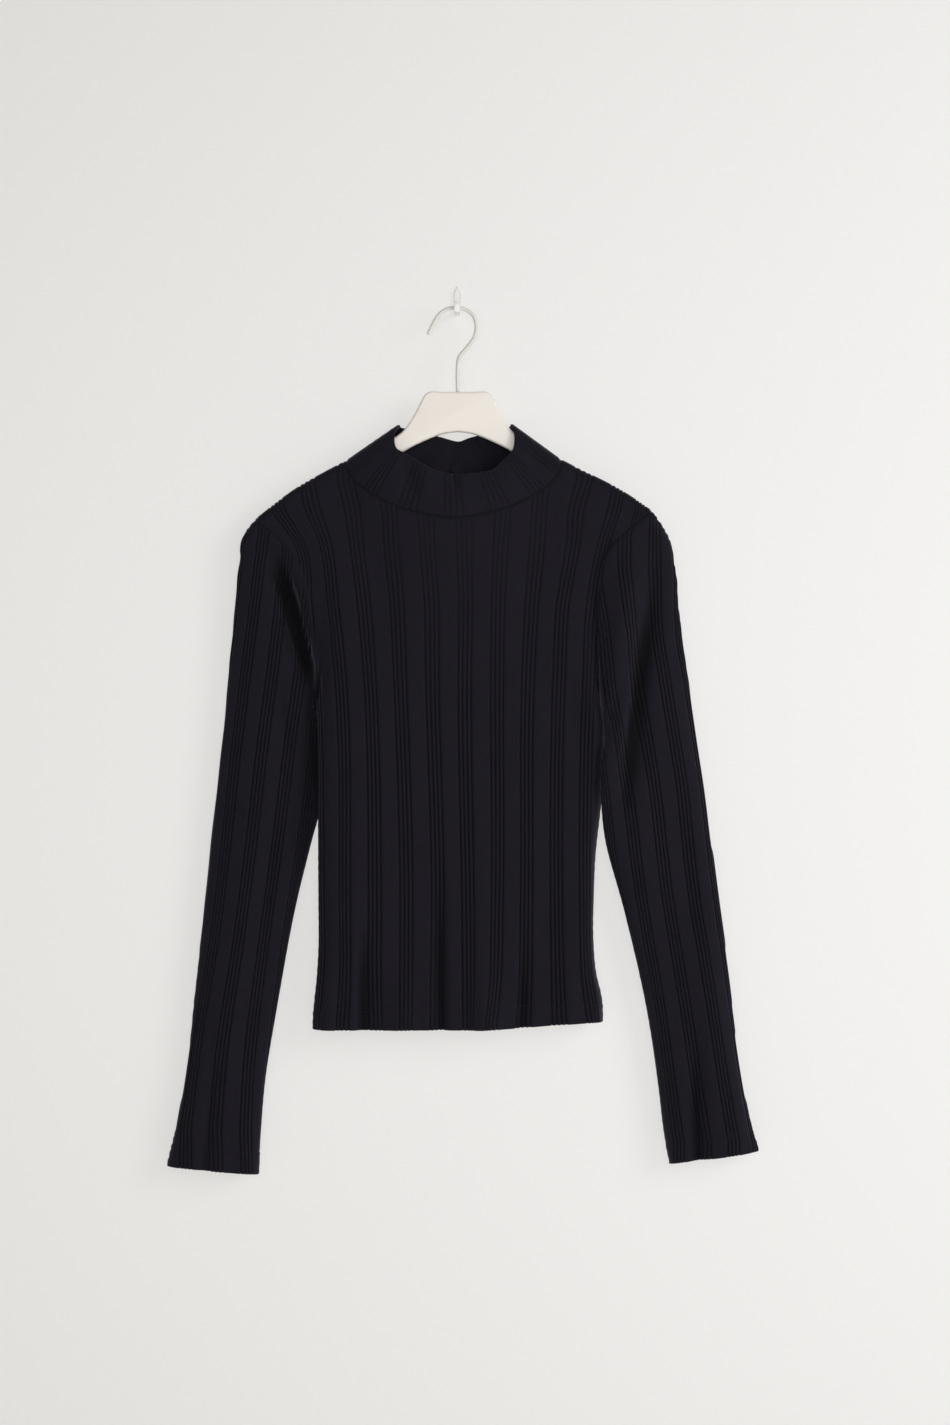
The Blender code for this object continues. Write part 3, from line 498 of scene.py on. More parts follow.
def collar_ring(up):
    """Shares and parts round the collar from the left shoulder over the front and back again."""
    path = (
        ("left", np.linspace(0.5, 0, 8)),
        ("front", np.linspace(0, 1, 120)),
        ("right", np.linspace(0, 1, 14)),
        ("back", 1 - np.linspace(0, 1, 90)),
        ("left", np.linspace(1, 0.5, 8)),
    )
    rows = []
    for part, shares in path:
        low, high = collar_edge(part, shares, False), collar_edge(part, shares, True)
        reach = np.linalg.norm(high - low, axis=-1, keepdims=True)
        high = high + (low - high) / reach * COLLAR_TURN_RADIUS
        points = blend(low[None], high[None], up[:, None, None])
        if part in ("front", "back"):
            swell = COLLAR_BULGE * np.sin(np.pi * up)[:, None] * np.sin(np.pi * shares)[None]
            points[..., 1] += swell * (1 if part == "back" else -1)
        rows.append(points if not rows else points[:, 1:])
    return np.concatenate(rows, axis=1), path


# ---- ribs -----------------------------------------------------------------------------------

RIB_PITCH = 28.0
GROOVES = (-0.2, -0.0667, 0.0667, 0.2)
GROOVE_REACH = 0.042
GROOVE_STEPS = (-0.042, -0.018, 0.0, 0.018, 0.042)
PLAIN_STEPS = (0.31, 0.37, 0.435, 0.5, 0.565, 0.63, 0.69)

# Middles of the body's rib groups at several heights: z, then x of eleven groups, left to right
RIB_LINES = (
    (-672.0, -131.0, -107.0, -75.0, -48.0, -19.0, 11.5, 30.0, 61.0, 95.0, 127.5, 156.0),
    (-637.0, -127.0, -104.8, -76.3, -47.4, -19.0, 11.2, 34.4, 62.9, 93.7, 121.8, 150.0),
    (-558.0, -125.6, -104.7, -76.3, -46.9, -17.9, 10.0, 37.1, 64.2, 92.2, 119.2, 147.0),
    (-345.0, -134.0, -109.1, -81.5, -53.5, -23.1, 7.0, 37.2, 66.0, 94.9, 122.8, 150.0),
    (-286.0, -139.5, -115.8, -86.5, -56.3, -23.7, 7.9, 37.7, 69.3, 97.7, 126.0, 154.0),
    (-223.0, -148.3, -124.3, -94.5, -61.8, -28.3, 6.2, 40.7, 74.3, 108.5, 137.5, 161.0),
    (-195.0, -166.5, -134.9, -97.5, -63.7, -29.8, 5.6, 43.2, 75.8, 110.5, 147.0, 170.0),
    (-167.0, -175.0, -141.0, -104.0, -70.0, -31.5, 5.0, 45.0, 79.0, 119.0, 152.0, 176.0),
)
SIDE_TURN = 24.0
SIDE_FADE = 25.0
HEAD_FADE = 20.0
BODY_COLUMNS = (-2, 11)
SLEEVE_COLUMNS = (-7, 5)
COLLAR_COLUMNS = (-2, 15)

# Sleeves' rib groups: height, x of the group next to the outer edge, pitch
SLEEVE_RIBS_LEFT = (
    (-772.0, -252.5, 29.3),
    (-682.6, -240.9, 26.5),
    (-593.3, -226.0, 24.0),
    (-513.4, -216.2, 24.4),
    (-417.6, -206.0, 25.3),
    (-329.0, -194.8, 25.5),
    (-296.7, -190.5, 25.0),
    (-213.0, -180.0, 26.0),
)
SLEEVE_RIBS_RIGHT = (
    (-783.0, 256.5, 26.0),
    (-734.7, 248.3, 25.6),
    (-664.0, 237.6, 25.1),
    (-545.9, 219.0, 25.3),
    (-449.2, 207.9, 25.8),
    (-360.8, 193.9, 26.3),
    (-313.4, 186.9, 25.1),
    (-249.2, 183.7, 29.3),
)
TUBE_EDGE = 7.0
TUBE_EDGE_REACH = 8.0

# Collar's ribs: the group at the middle of the front, a group's share of the front, back middle
COLLAR_MIDDLE_RIB = 3.0
COLLAR_RIB_SHARE = 0.145
COLLAR_BACK_RIB = 10.0


def rib_columns(first, last):
    """Rib coordinates of a sheet's columns: close together in the grooves, open between them."""
    steps = [middle + step for middle in GROOVES for step in GROOVE_STEPS] + list(PLAIN_STEPS)
    return np.array(sorted(rib + step for rib in range(first, last + 1) for step in steps))


def groove(rib):
    """Depth of the grooves at a rib coordinate, from 0 to 1."""
    part = rib - np.round(rib)
    near = np.min([np.abs(part - middle) for middle in GROOVES], axis=0)
    return np.cos(np.clip(near / GROOVE_REACH, 0, 1) * np.pi / 2) ** 2


def rising(field):
    """The same field, made to rise along each row."""
    return np.maximum.accumulate(field, axis=1) + np.arange(field.shape[1]) * 1e-5


def body_field(form):
    """Rib coordinate over a body panel: along the drawn rib lines, and by arc round the sides."""
    x, z = form.points[..., 0], form.points[..., 2]
    lines = smooth(RIB_LINES, z)
    shares = (x[..., None] - lines[..., :-1]) / np.diff(lines, axis=-1)
    field = np.clip(shares, 0, 1).sum(axis=-1)
    field = field + np.minimum(shares[..., 0], 0) + np.maximum(shares[..., -1] - 1, 0)
    for row, run in enumerate(form.across):
        low, high = np.interp((SIDE_TURN, run[-1] - SIDE_TURN), run, field[row])
        left = low - (SIDE_TURN - run) / RIB_PITCH
        right = high + (run - run[-1] + SIDE_TURN) / RIB_PITCH
        sides = np.where(run > run[-1] - SIDE_TURN, right, field[row])
        sides = np.where(run < SIDE_TURN, left, sides)
        below = fade((UNDERARM + SIDE_FADE - z[row]) / SIDE_FADE)
        field[row] = blend(field[row], sides, below)
    return rising(field)


def sleeve_field(form, side, shares):
    """Rib coordinate round a sleeve, counted from its outer edge and growing towards the back."""
    table = SLEEVE_LEFT if side == "left" else SLEEVE_RIGHT
    inner = sorted([(row[4], row[3]) for row in table])
    x, z = form.points[..., 0], form.points[..., 2]
    outermost = np.argmax(np.abs(x), axis=1)
    rows = np.arange(len(x))
    outer = sorted(zip(z[rows, outermost], x[rows, outermost]))
    outer_x = np.interp(z, *zip(*outer))
    width = np.abs(np.interp(z, *zip(*inner)) - outer_x)
    ribs = smooth(SLEEVE_RIBS_LEFT if side == "left" else SLEEVE_RIBS_RIGHT, z)
    below = fade((UNDERARM - z) / HEAD_FADE)

    def arc(away):
        inside = np.clip(width - away, 0, None)
        length = away + TUBE_EDGE * (1 - np.exp(-away / TUBE_EDGE_REACH))
        return length + below * TUBE_EDGE * np.exp(-inside / TUBE_EDGE_REACH)

    away = arc(np.abs(x - outer_x))
    first = arc(np.abs(ribs[..., 0] - outer_x))
    front = -1 - (away - first) / ribs[..., 1]
    back = -1 + (away + first) / ribs[..., 1]
    return rising(np.where(shares[None, :] < 0.5, front, back))


def collar_field(form, path):
    """Rib coordinate round the collar, alike in every row so that the ribs stand upright."""
    run = form.across.mean(axis=0)
    left_end = len(path[0][1]) - 1
    right_end = left_end + len(path[1][1]) - 1
    back_middle = right_end + len(path[2][1]) - 1 + (len(path[3][1]) - 1) // 2
    front = COLLAR_MIDDLE_RIB + (path[1][1] - 0.5) / COLLAR_RIB_SHARE
    pitch = (run[back_middle] - run[right_end]) / (COLLAR_BACK_RIB - front[-1])
    field = np.concatenate([
        front[0] - (run[left_end] - run[:left_end]) / pitch,
        front,
        front[-1] + (run[right_end + 1:] - run[right_end]) / pitch,
    ])
    return rising(np.repeat(field[None], len(form.points), axis=0))


# ---- forms and seams ------------------------------------------------------------------------

ROW_STEP = 4.3
SEAM_ROWS = (0.0, 0.6, 1.2, 2.0, 3.2, 5.0)
UPPER_LENGTH = 205.0
SLEEVE_LENGTH = 620.0
HEM_BAND = 24.0
HEM_STEP = 1.25
FLAP_LENGTH = FOLD_RADIUS * (SEAM_TURN - BASE_TURN)
FLAP_STEP = 2.2
EASE = 4.0
EASE_END = 0.08
SEAM_STEP = 0.5
SEAM_MEET = 4.0
SEAM_BEND = 3.0
SIDE_DEPTH = 0.45
TUBE_DEPTH = 0.3
UNDERARM_FADE = 40.0
CORNER_REACH = 9.0
CORNER_COLUMNS = 2.5
SOFT_REACH = 26.0
SOFT_EDGE = 14.0
SOFT_ROUNDS = 40
SLEEVE_ROW_STEP = 4.7
SLEEVE_BAND_ROWS = 20
COLLAR_HEIGHT = 45.0
COLLAR_ROWS = 12
COLLAR_TOP_ROWS = (0.93, 0.96, 0.98, 1.0)


class Form:
    """Outer form of a piece, by row and sample: places, outward slopes and lengths run."""

    def __init__(self, points, outward):
        self.points = points
        normals = np.cross(np.gradient(points, axis=1), np.gradient(points, axis=0))
        normals = unit(normals)
        if np.sum(normals * outward) < 0:
            normals = -normals
        self.normals = normals
        self.across = running(points, 1)
        self.along = running(points, 0)


class Seams:
    """Every seam of the top, with the way out between its two pieces and how deep it lies."""

    def __init__(self):
        self.points, self.outward, self.run, self.depth = [], [], [], []

    def add(self, line, normals, depth):
        """Take in a seam's line; its depth fades out towards the underarm if it is a side seam."""
        run = running(line, 0)
        steps = np.arange(0, run[-1], SEAM_STEP)
        self.points.append(at_lengths(steps, run, line))
        self.outward.append(at_lengths(steps, run, normals))
        self.run.append(steps)
        below = fade((UNDERARM - np.interp(steps, run, line[:, 2])) / UNDERARM_FADE)
        upper = 1.0 if depth == 1.0 else 0.0
        self.depth.append(blend(upper, depth, below))

    def settle(self):
        self.points, self.outward = np.concatenate(self.points), np.concatenate(self.outward)
        self.run, self.depth = np.concatenate(self.run), np.concatenate(self.depth)
        self.tree = kdtree.KDTree(len(self.points))
        for index, point in enumerate(self.points):
            self.tree.insert(point, index)
        self.tree.balance()
        mean = np.empty_like(self.outward)
        for index, point in enumerate(self.points):
            near = [hit[1] for hit in self.tree.find_range(point, SEAM_MEET)]
            mean[index] = self.outward[near].sum(axis=0)
        self.outward = unit(mean)

    def near(self, points):
        """Distance to the nearest seam, its own way out, length along it and depth."""
        hits = [self.tree.find(point)[1:] for point in points.reshape(-1, 3)]
        index = np.array([hit[0] for hit in hits]).reshape(points.shape[:-1])
        distance = np.array([hit[1] for hit in hits]).reshape(points.shape[:-1])
        return distance, self.outward[index], self.run[index], self.depth[index]


def row_steps(length, step):
    """Distances from a seam: close together next to it, then even."""
    return np.concatenate([SEAM_ROWS, np.arange(SEAM_ROWS[-1] + step, length - step / 2, step)])


def panel_shares():
    sides = (1 - np.cos(np.pi * np.linspace(0, 1, 200))) / 2
    return np.unique(np.concatenate([sides, (NECK_LEFT_SHARE, NECK_RIGHT_SHARE)]))


def panel_form(face):
    """Front or back panel from its upper edge down to the hem."""
    shares = panel_shares()
    ups = 1 - row_steps(UPPER_LENGTH, ROW_STEP) / UPPER_LENGTH
    band = HEM + HEM_BAND
    heights = np.concatenate([
        np.arange(UNDERARM, band, -ROW_STEP),
        np.linspace(band, HEM, int(HEM_BAND / HEM_STEP)),
    ])
    lower = np.array([body_section(height, face, shares) for height in heights])
    points = np.concatenate([upper_body(ups, face, shares), lower])
    return Form(softened(points), (0.0, 1.0 if face else -1.0, 0.0))


def softened(points):
    """The same rows with the bend at the underarm smoothed away from the side edges."""
    run = running(points, 1)
    edge = fade(np.minimum(run, run[:, -1:] - run) / SOFT_EDGE)
    middle = bell(points[..., 2] - UNDERARM, SOFT_REACH)
    for _ in range(SOFT_ROUNDS):
        depth = points[..., 1]
        mean = depth.copy()
        mean[1:-1] = (depth[:-2] + 2 * depth[1:-1] + depth[2:]) / 4
        points[..., 1] = blend(depth, mean, edge * middle)
    return points


def flap_form(side, panel):
    """The part of the back that comes over the hanger's arm, meeting the panel at its foot."""
    shares = panel_shares()
    kept = shares <= NECK_LEFT_SHARE if side == "left" else shares >= NECK_RIGHT_SHARE
    inner = np.arange(SEAM_ROWS[-1] + FLAP_STEP, FLAP_LENGTH - 1, FLAP_STEP)
    steps = np.concatenate([SEAM_ROWS, inner, [FLAP_LENGTH]])
    turns = SEAM_TURN - steps / FOLD_RADIUS
    form = Form(np.array([fold_points(shares[kept], turn) for turn in turns]), (0.0, 0.0, 1.0))
    form.points[-1] = panel.points[0, kept]
    meeting = unit(form.normals[-1] + panel.normals[0, kept])
    form.normals[-1] = meeting
    panel.normals[0, kept] = meeting
    return form


def tube_outward(points):
    """Rough way out of a ring of points, from the middle of each row."""
    return points - points.mean(axis=1, keepdims=True)


def sleeve_form(side):
    shares = np.linspace(0, 1, 261)
    band = SLEEVE_LENGTH - HEM_BAND
    steps = row_steps(band, SLEEVE_ROW_STEP)
    steps = np.concatenate([steps, np.linspace(band, SLEEVE_LENGTH, SLEEVE_BAND_ROWS)])
    points = sleeve_rows(side, shares, steps / SLEEVE_LENGTH)
    return Form(points, tube_outward(points)), shares


def collar_form():
    foot = np.array(SEAM_ROWS) / COLLAR_HEIGHT
    up = np.concatenate([foot, np.linspace(0.2, 0.9, COLLAR_ROWS), COLLAR_TOP_ROWS])
    points, path = collar_ring(up)
    return Form(points, tube_outward(points)), path


GARMENT = {}


def garment():
    """All forms of the top with their rib coordinates and the seams between them, made once."""
    if GARMENT:
        return GARMENT
    front, back = panel_form(0), panel_form(1)
    flaps = [flap_form(side, back) for side in ("left", "right")]
    seams = Seams()
    for form in (front, back):
        above = form.points[:, 0, 2] >= UNDERARM
        for edge in (0, -1):
            seams.add(form.points[above, edge], form.normals[above, edge], 1.0)
            seams.add(form.points[~above, edge], form.normals[~above, edge], SIDE_DEPTH)
    seams.add(front.points[0], front.normals[0], 1.0)
    shares = panel_shares()
    neck = (shares >= NECK_LEFT_SHARE) & (shares <= NECK_RIGHT_SHARE)
    seams.add(back.points[0, neck], back.normals[0, neck], 1.0)
    for form in flaps:
        seams.add(form.points[0], form.normals[0], 1.0)
        seams.add(form.points[:, 0], form.normals[:, 0], 1.0)
        seams.add(form.points[:, -1], form.normals[:, -1], 1.0)
    for side in ("left", "right"):
        form, around = sleeve_form(side)
        seams.add(form.points[0], form.normals[0], 1.0)
        seams.add(form.points[:, 0], form.normals[:, 0], TUBE_DEPTH)
        GARMENT["sleeve_" + side] = [(form, sleeve_field(form, side, around))]
    collar, path = collar_form()
    seams.add(collar.points[0], collar.normals[0], 1.0)
    seams.add(collar.points[:, 0], collar.normals[:, 0], 1.0)
    seams.settle()
    GARMENT["seams"] = seams
    GARMENT["corners"] = np.searchsorted(shares, (NECK_LEFT_SHARE, NECK_RIGHT_SHARE))
    GARMENT["front"] = [(front, body_field(front))]
    GARMENT["back"] = [(form, body_field(form)) for form in (back, *flaps)]
    GARMENT["collar"] = [(collar, collar_field(collar, path))]
    return GARMENT


# ---- cloth ----------------------------------------------------------------------------------

SEAM_DIP = 1.1
SEAM_REACH = 1.9
# Painted shade along the seams, standing in for the shadow in the seam's dip
SEAM_SHADE = 0.7
SEAM_SHADE_REACH = 0.9
ON_SEAM = 0.4
FLANGE = 3.0
FLANGE_LEAN = 0.2
SIDE_LEAN = 0.02
SIDE_COLUMNS = 12
PUCKER = 0.25
PUCKER_LENGTH = 8.5
PUCKER_REACH = 5.0
PUCKER_DRIFT = 23.0
FREE_REACH = 8.0
OFF_SEAM = 2.5
INNER_GROOVES = 0.45
HEM_FLARE = 14.0
HEM_TURN = 20.5
HEM_SWELL = 0.45
STITCH_ROWS = (15.8, 19.0)
STITCH_DIP = 0.4
STITCH_REACH = 0.75
TURN_RADIUS = 1.1
TURN_STEPS = 5
TURNED_SHADE = 0.8
MERGE = 0.02
# Painted shade deep in the creases, standing in for the shadow there: its strength, the trough
# depth it starts at and the depth over which it comes in
FOLD_SHADE = 0.93
FOLD_SHADE_FROM = 1.0
FOLD_SHADE_REACH = 6.0
RIPPLE = 0.35
RIPPLE_SIZE = 27.0

# Where the ribs are pulled open: half width of the chest, height it starts at and full height
CHEST_OPEN = 0.5
CHEST_REACH = 95.0
CHEST_FROM = -460.0
CHEST_RISE = 260.0
TOP_OPEN = 0.3
TOP_FROM = -310.0
TOP_RISE = 120.0

# Creases listed one by one: places x, z along it, depth, width to its left and to its right
# going down; a ridge has a negative depth
FRONT_CREASES = (
    (((-127.0, -250.0), (-120.0, -290.0), (-117.0, -330.0)), 1.8, 9.0, 9.0),
    (((118.0, -260.0), (113.0, -320.0), (112.0, -400.0)), 1.6, 12.0, 12.0),
    (((104.0, -350.0), (118.0, -400.0), (124.0, -440.0)), 2.2, 14.0, 8.0),
    (((-86.0, -530.0), (-86.0, -610.0), (-87.0, -690.0)), 6.2, 6.0, 7.0),
    (((-17.0, -470.0), (-16.0, -600.0), (-14.5, -690.0)), 6.4, 6.0, 5.5),
    (((62.0, -560.0), (61.0, -630.0), (60.0, -690.0)), 5.4, 5.5, 6.5),
    (((-118.0, -600.0), (-119.0, -650.0), (-120.0, -690.0)), -4.0, 9.0, 10.0),
    (((-50.0, -590.0), (-50.0, -650.0), (-50.0, -690.0)), -4.0, 13.0, 11.0),
    (((26.0, -590.0), (26.0, -650.0), (26.0, -690.0)), -4.2, 13.0, 12.0),
    (((100.0, -600.0), (104.0, -650.0), (106.0, -690.0)), -3.8, 13.0, 9.0),
    (((-124.0, -415.0), (-108.0, -432.0), (-88.0, -441.0)), 1.2, 7.0, 6.0),
)
BACK_CREASES = (
    (((-118.0, -262.0), (-104.0, -300.0), (-98.0, -352.0)), 2.0, 12.0, 10.0),
    (((116.0, -258.0), (106.0, -310.0), (104.0, -360.0)), 1.8, 10.0, 13.0),
    (((-40.0, -560.0), (-44.0, -620.0), (-43.0, -690.0)), 3.0, 7.0, 7.0),
    (((66.0, -545.0), (63.0, -620.0), (64.0, -690.0)), 2.6, 8.0, 6.0),
    (((12.0, -590.0), (11.0, -640.0), (11.0, -690.0)), -2.2, 12.0, 12.0),
    (((-92.0, -600.0), (-93.0, -650.0), (-95.0, -690.0)), -2.0, 12.0, 10.0),
    (((20.0, -212.0), (14.0, -250.0), (16.0, -300.0)), 1.3, 14.0, 12.0),
)
LEFT_CREASES = (
    (
        ((-174.0, -218.0), (-161.0, -262.0), (-151.5, -298.0), (-143.5, -334.0), (-138.5, -366.0)),
        8.5, 11.5, 6.5,
    ),
    (((-142.0, -312.0), (-136.0, -358.0), (-132.0, -410.0), (-129.0, -480.0)), 4.6, 9.0, 6.0),
    (((-168.0, -362.0), (-160.0, -399.0), (-163.0, -425.0)), 2.6, 5.0, 4.0),
    (((-167.0, -470.0), (-173.0, -520.0), (-183.0, -590.0)), 2.6, 9.0, 7.0),
    (((-180.0, -250.0), (-182.0, -430.0), (-204.0, -600.0), (-222.0, -760.0)), -4.0, 20.0, 13.0),
    (((-224.0, -640.0), (-229.0, -740.0), (-236.0, -820.0)), 6.2, 6.5, 6.5),
    (((-255.0, -720.0), (-257.0, -770.0), (-262.0, -820.0)), -2.4, 9.0, 8.0),
    (((-200.0, -710.0), (-198.0, -760.0), (-197.0, -820.0)), -2.6, 10.0, 8.0),
)
RIGHT_CREASES = (
    (
        ((186.0, -222.0), (181.0, -285.0), (172.0, -340.0), (163.0, -410.0), (154.0, -510.0)),
        6.8, 8.0, 9.0,
    ),
    (((158.0, -230.0), (155.0, -290.0), (150.0, -350.0)), -3.4, 10.0, 10.0),
    (((196.0, -250.0), (208.0, -412.0), (227.0, -560.0), (242.0, -740.0)), -4.5, 13.0, 20.0),
    (((131.0, -370.0), (132.0, -420.0), (134.0, -470.0)), -1.8, 5.0, 5.0),
    (((205.0, -450.0), (215.0, -530.0), (224.0, -610.0)), 2.6, 9.0, 9.0),
    (((222.0, -650.0), (222.0, -740.0), (224.0, -800.0)), 6.2, 6.5, 6.5),
    (((203.0, -720.0), (203.0, -760.0), (204.0, -800.0)), -2.2, 8.0, 8.0),
    (((254.0, -700.0), (260.0, -750.0), (266.0, -800.0)), -2.4, 10.0, 9.0),
)
LEFT_BACK_CREASES = (
    (((-160.0, -238.0), (-147.0, -290.0), (-141.0, -350.0)), 3.4, 9.0, 6.0),
    (((-205.0, -430.0), (-186.0, -462.0), (-165.0, -478.0)), 2.6, 8.0, 6.0),
    (((-196.0, -480.0), (-208.0, -560.0), (-214.0, -610.0)), 1.8, 8.0, 8.0),
    (((-214.0, -700.0), (-216.0, -750.0), (-220.0, -820.0)), 2.6, 8.0, 8.0),
)
RIGHT_BACK_CREASES = (
    (((165.0, -236.0), (158.0, -290.0), (160.0, -352.0)), 3.2, 7.0, 9.0),
    (((212.0, -440.0), (196.0, -470.0), (176.0, -484.0)), 2.4, 6.0, 8.0),
    (((204.0, -500.0), (216.0, -580.0), (224.0, -640.0)), 1.8, 8.0, 8.0),
    (((236.0, -690.0), (240.0, -740.0), (246.0, -800.0)), 2.6, 8.0, 8.0),
)
COLLAR_CREASES = (
    (((-53.0, -138.0), (-46.0, -160.0), (-39.0, -190.0)), 2.2, 7.0, 6.0),
    (((-39.0, -140.0), (-33.0, -160.0), (-27.0, -190.0)), -1.6, 5.0, 7.0),
    (((-5.0, -148.0), (-3.0, -163.0), (-0.5, -180.0)), 2.4, 2.6, 3.4),
    (((44.0, -140.0), (47.0, -165.0), (54.0, -190.0)), -1.4, 8.0, 8.0),
    (((66.0, -136.0), (74.0, -156.0), (84.0, -172.0)), 1.2, 7.0, 6.0),
)
CREASE_STEPS = 24
CREASE_START = 2.6
CREASE_END = 3.4
CREASE_TURN = 3.0
CREASE_PAST_HEM = 8.0
LONG_START = 1.3


def eased(length):
    """Lengths from a seam, drawn together against it instead of running past it."""
    near = EASE * np.exp(np.minimum(length - EASE, 0) / EASE)
    near = np.where(near < EASE_END, 0.0, near)
    return np.where(length < EASE, near, length)


class Sheet:
    """A form laid out in rib columns, with where each corner stands to the seams and the hem."""

    def __init__(self, form, field, columns, seams, soft, corners):
        samples = form.points.shape[1]
        places = []
        for ribs, run in zip(field, form.across):
            past = np.minimum(columns - ribs[0], 0) + np.maximum(columns - ribs[-1], 0)
            at = np.interp(columns, ribs, run) + past * RIB_PITCH
            at = eased(at) if soft[0] else at
            at = run[-1] - eased(run[-1] - at) if soft[1] else at
            places.append(np.interp(at, run, np.arange(samples)))
        place = np.array(places)
        near_top = fade(1 - form.along[:, :1] / CORNER_REACH)
        for corner in corners:
            nearest = int(np.argmin(np.abs(place[0] - corner)))
            hold = bell(np.arange(len(columns)) - nearest, CORNER_COLUMNS)
            place = place + (corner - place[0, nearest]) * hold[None] * near_top
        self.low = np.clip(np.floor(place).astype(int), 0, samples - 2)
        self.part = place - self.low
        self.rib = self.pick(field)
        self.points = self.pick(form.points)
        self.along = self.pick(form.along)
        self.hem = self.pick(form.along[-1:] - form.along)
        self.share = place / (samples - 1)
        self.seam, outward, self.seam_run, self.seam_depth = seams.near(self.points)
        normals = self.pick(form.normals)
        bend = bell(self.seam, SEAM_BEND)[..., None]
        bend = np.where(np.sum(normals * outward, axis=-1, keepdims=True) > 0.2, bend, 0.0)
        self.normals = unit(blend(normals, outward, bend))

    def pick(self, values):
        """Values of the form at the sheet's corners."""
        rows = np.arange(len(values))[:, None]
        low, high = values[rows, self.low], values[rows, self.low + 1]
        part = self.part if values.ndim == 2 else self.part[..., None]
        return blend(low, high, part)


def troughs(points, table):
    """Sum of soft troughs and ridges, each along its own line and shallow at its ends."""
    height = np.zeros(points.shape[:-1])
    for line, depth, left, right in table:
        knots = [(step, x, z) for step, (x, z) in enumerate(line)]
        places = smooth(knots, np.linspace(0, len(line) - 1, CREASE_STEPS))
        run = running(places, 0)
        run_x, run_z = np.gradient(places[:, 0], run), np.gradient(places[:, 1], run)
        away_x = points[..., 0, None] - places[:, 0]
        away_z = points[..., 2, None] - places[:, 1]
        nearest = np.argmin(away_x ** 2 + away_z ** 2, axis=-1)[..., None]
        away_x = np.take_along_axis(away_x, nearest, axis=-1)[..., 0]
        away_z = np.take_along_axis(away_z, nearest, axis=-1)[..., 0]
        nearest = nearest[..., 0]
        across = away_z * run_x[nearest] - away_x * run_z[nearest]
        along = run[nearest] + away_x * run_x[nearest] + away_z * run_z[nearest]
        share = np.clip(along / run[-1], 0, 1)
        past_hem = places[-1, 1] < HEM - CREASE_PAST_HEM
        taper = fade(share * (LONG_START if past_hem else CREASE_START))
        if not past_hem:
            taper = taper * fade((1 - share) * CREASE_END)
        width = blend(left, right, fade(across / CREASE_TURN + 0.5))
        height = height - depth * bell(across, width) * taper
    return height


def open_ribs(points):
    """How closed the ribs' grooves are: pulled open and fainter over the upper chest."""
    chest = bell(points[..., 0], CHEST_REACH) * fade((points[..., 2] - CHEST_FROM) / CHEST_RISE)
    top = fade((points[..., 2] - TOP_FROM) / TOP_RISE)
    return (1 - CHEST_OPEN * chest) * (1 - TOP_OPEN * top)


def ripple(points, phases):
    """Faint uneven waves of the cloth, about 1 high."""
    x, z = points[..., 0] / RIPPLE_SIZE, points[..., 2] / RIPPLE_SIZE
    wave = np.sin(x * 1.7 + z * 0.6 + phases[0]) + np.sin(z * 1.3 - x * 0.8 + phases[1])
    return (wave + np.sin(x * 0.7 + z * 2.1 + phases[2])) / 3


class Relief:
    """How far a sheet's corners stand off its form: shift moves both layers, skin the outer face.

    Shade is painted shade: how much the yarn's colour is darkened in the ribs' grooves, along the
    seams and deep in the creases, where shadow would fall.
    """

    def __init__(self, sheet, settings, hemmed, phases, creases, back_creases):
        free, off_seam = fade(sheet.seam / FREE_REACH), fade(sheet.seam / OFF_SEAM)
        near_hem = fade(1 - sheet.hem / (HEM_TURN + 3)) if hemmed else np.zeros_like(sheet.hem)
        dip = SEAM_DIP * sheet.seam_depth * bell(sheet.seam, SEAM_REACH)
        uneven = 2 * np.sin(sheet.seam_run / PUCKER_DRIFT)
        pucker = np.sin(sheet.seam_run / PUCKER_LENGTH * 2 * np.pi + uneven)
        pucker = PUCKER * pucker * bell(sheet.seam, PUCKER_REACH) * off_seam
        behind = fade((sheet.share - 0.5) / 0.02) if back_creases is not None else 0.0
        folds = troughs(sheet.points, creases) * (1 - behind)
        if back_creases is not None:
            folds = folds + troughs(sheet.points, back_creases) * behind
        self.shift = (folds + RIPPLE * ripple(sheet.points, phases)) * free + pucker - dip
        self.grooves = groove(sheet.rib) * off_seam
        # Painted shade along the seams and deep in the creases, where shadow falls
        in_seam = sheet.seam_depth * bell(sheet.seam, SEAM_SHADE_REACH)
        in_fold = FOLD_SHADE * fade((-folds - FOLD_SHADE_FROM) / FOLD_SHADE_REACH)
        closed = open_ribs(sheet.points)
        # Painted shade of the grooves and seams, deepened further in the creases
        self.shade = np.maximum(self.grooves * closed, SEAM_SHADE * in_seam)
        self.shade = self.shade + (1 - self.shade) * in_fold
        depth = settings.groove_depth / MM * closed * (1 - 0.4 * near_hem)
        self.skin = -depth * self.grooves
        self.inner_skin = self.skin * INNER_GROOVES
        if hemmed:
            flare = bell(sheet.hem, HEM_FLARE) * free
            self.shift = self.shift + settings.hem_wave / MM * flare * np.cos(2 * np.pi * sheet.rib)
            self.skin = self.skin + HEM_SWELL * fade((HEM_TURN - sheet.hem) / 2)
            for row in STITCH_ROWS:
                self.skin = self.skin - STITCH_DIP * bell(sheet.hem - row, STITCH_REACH)


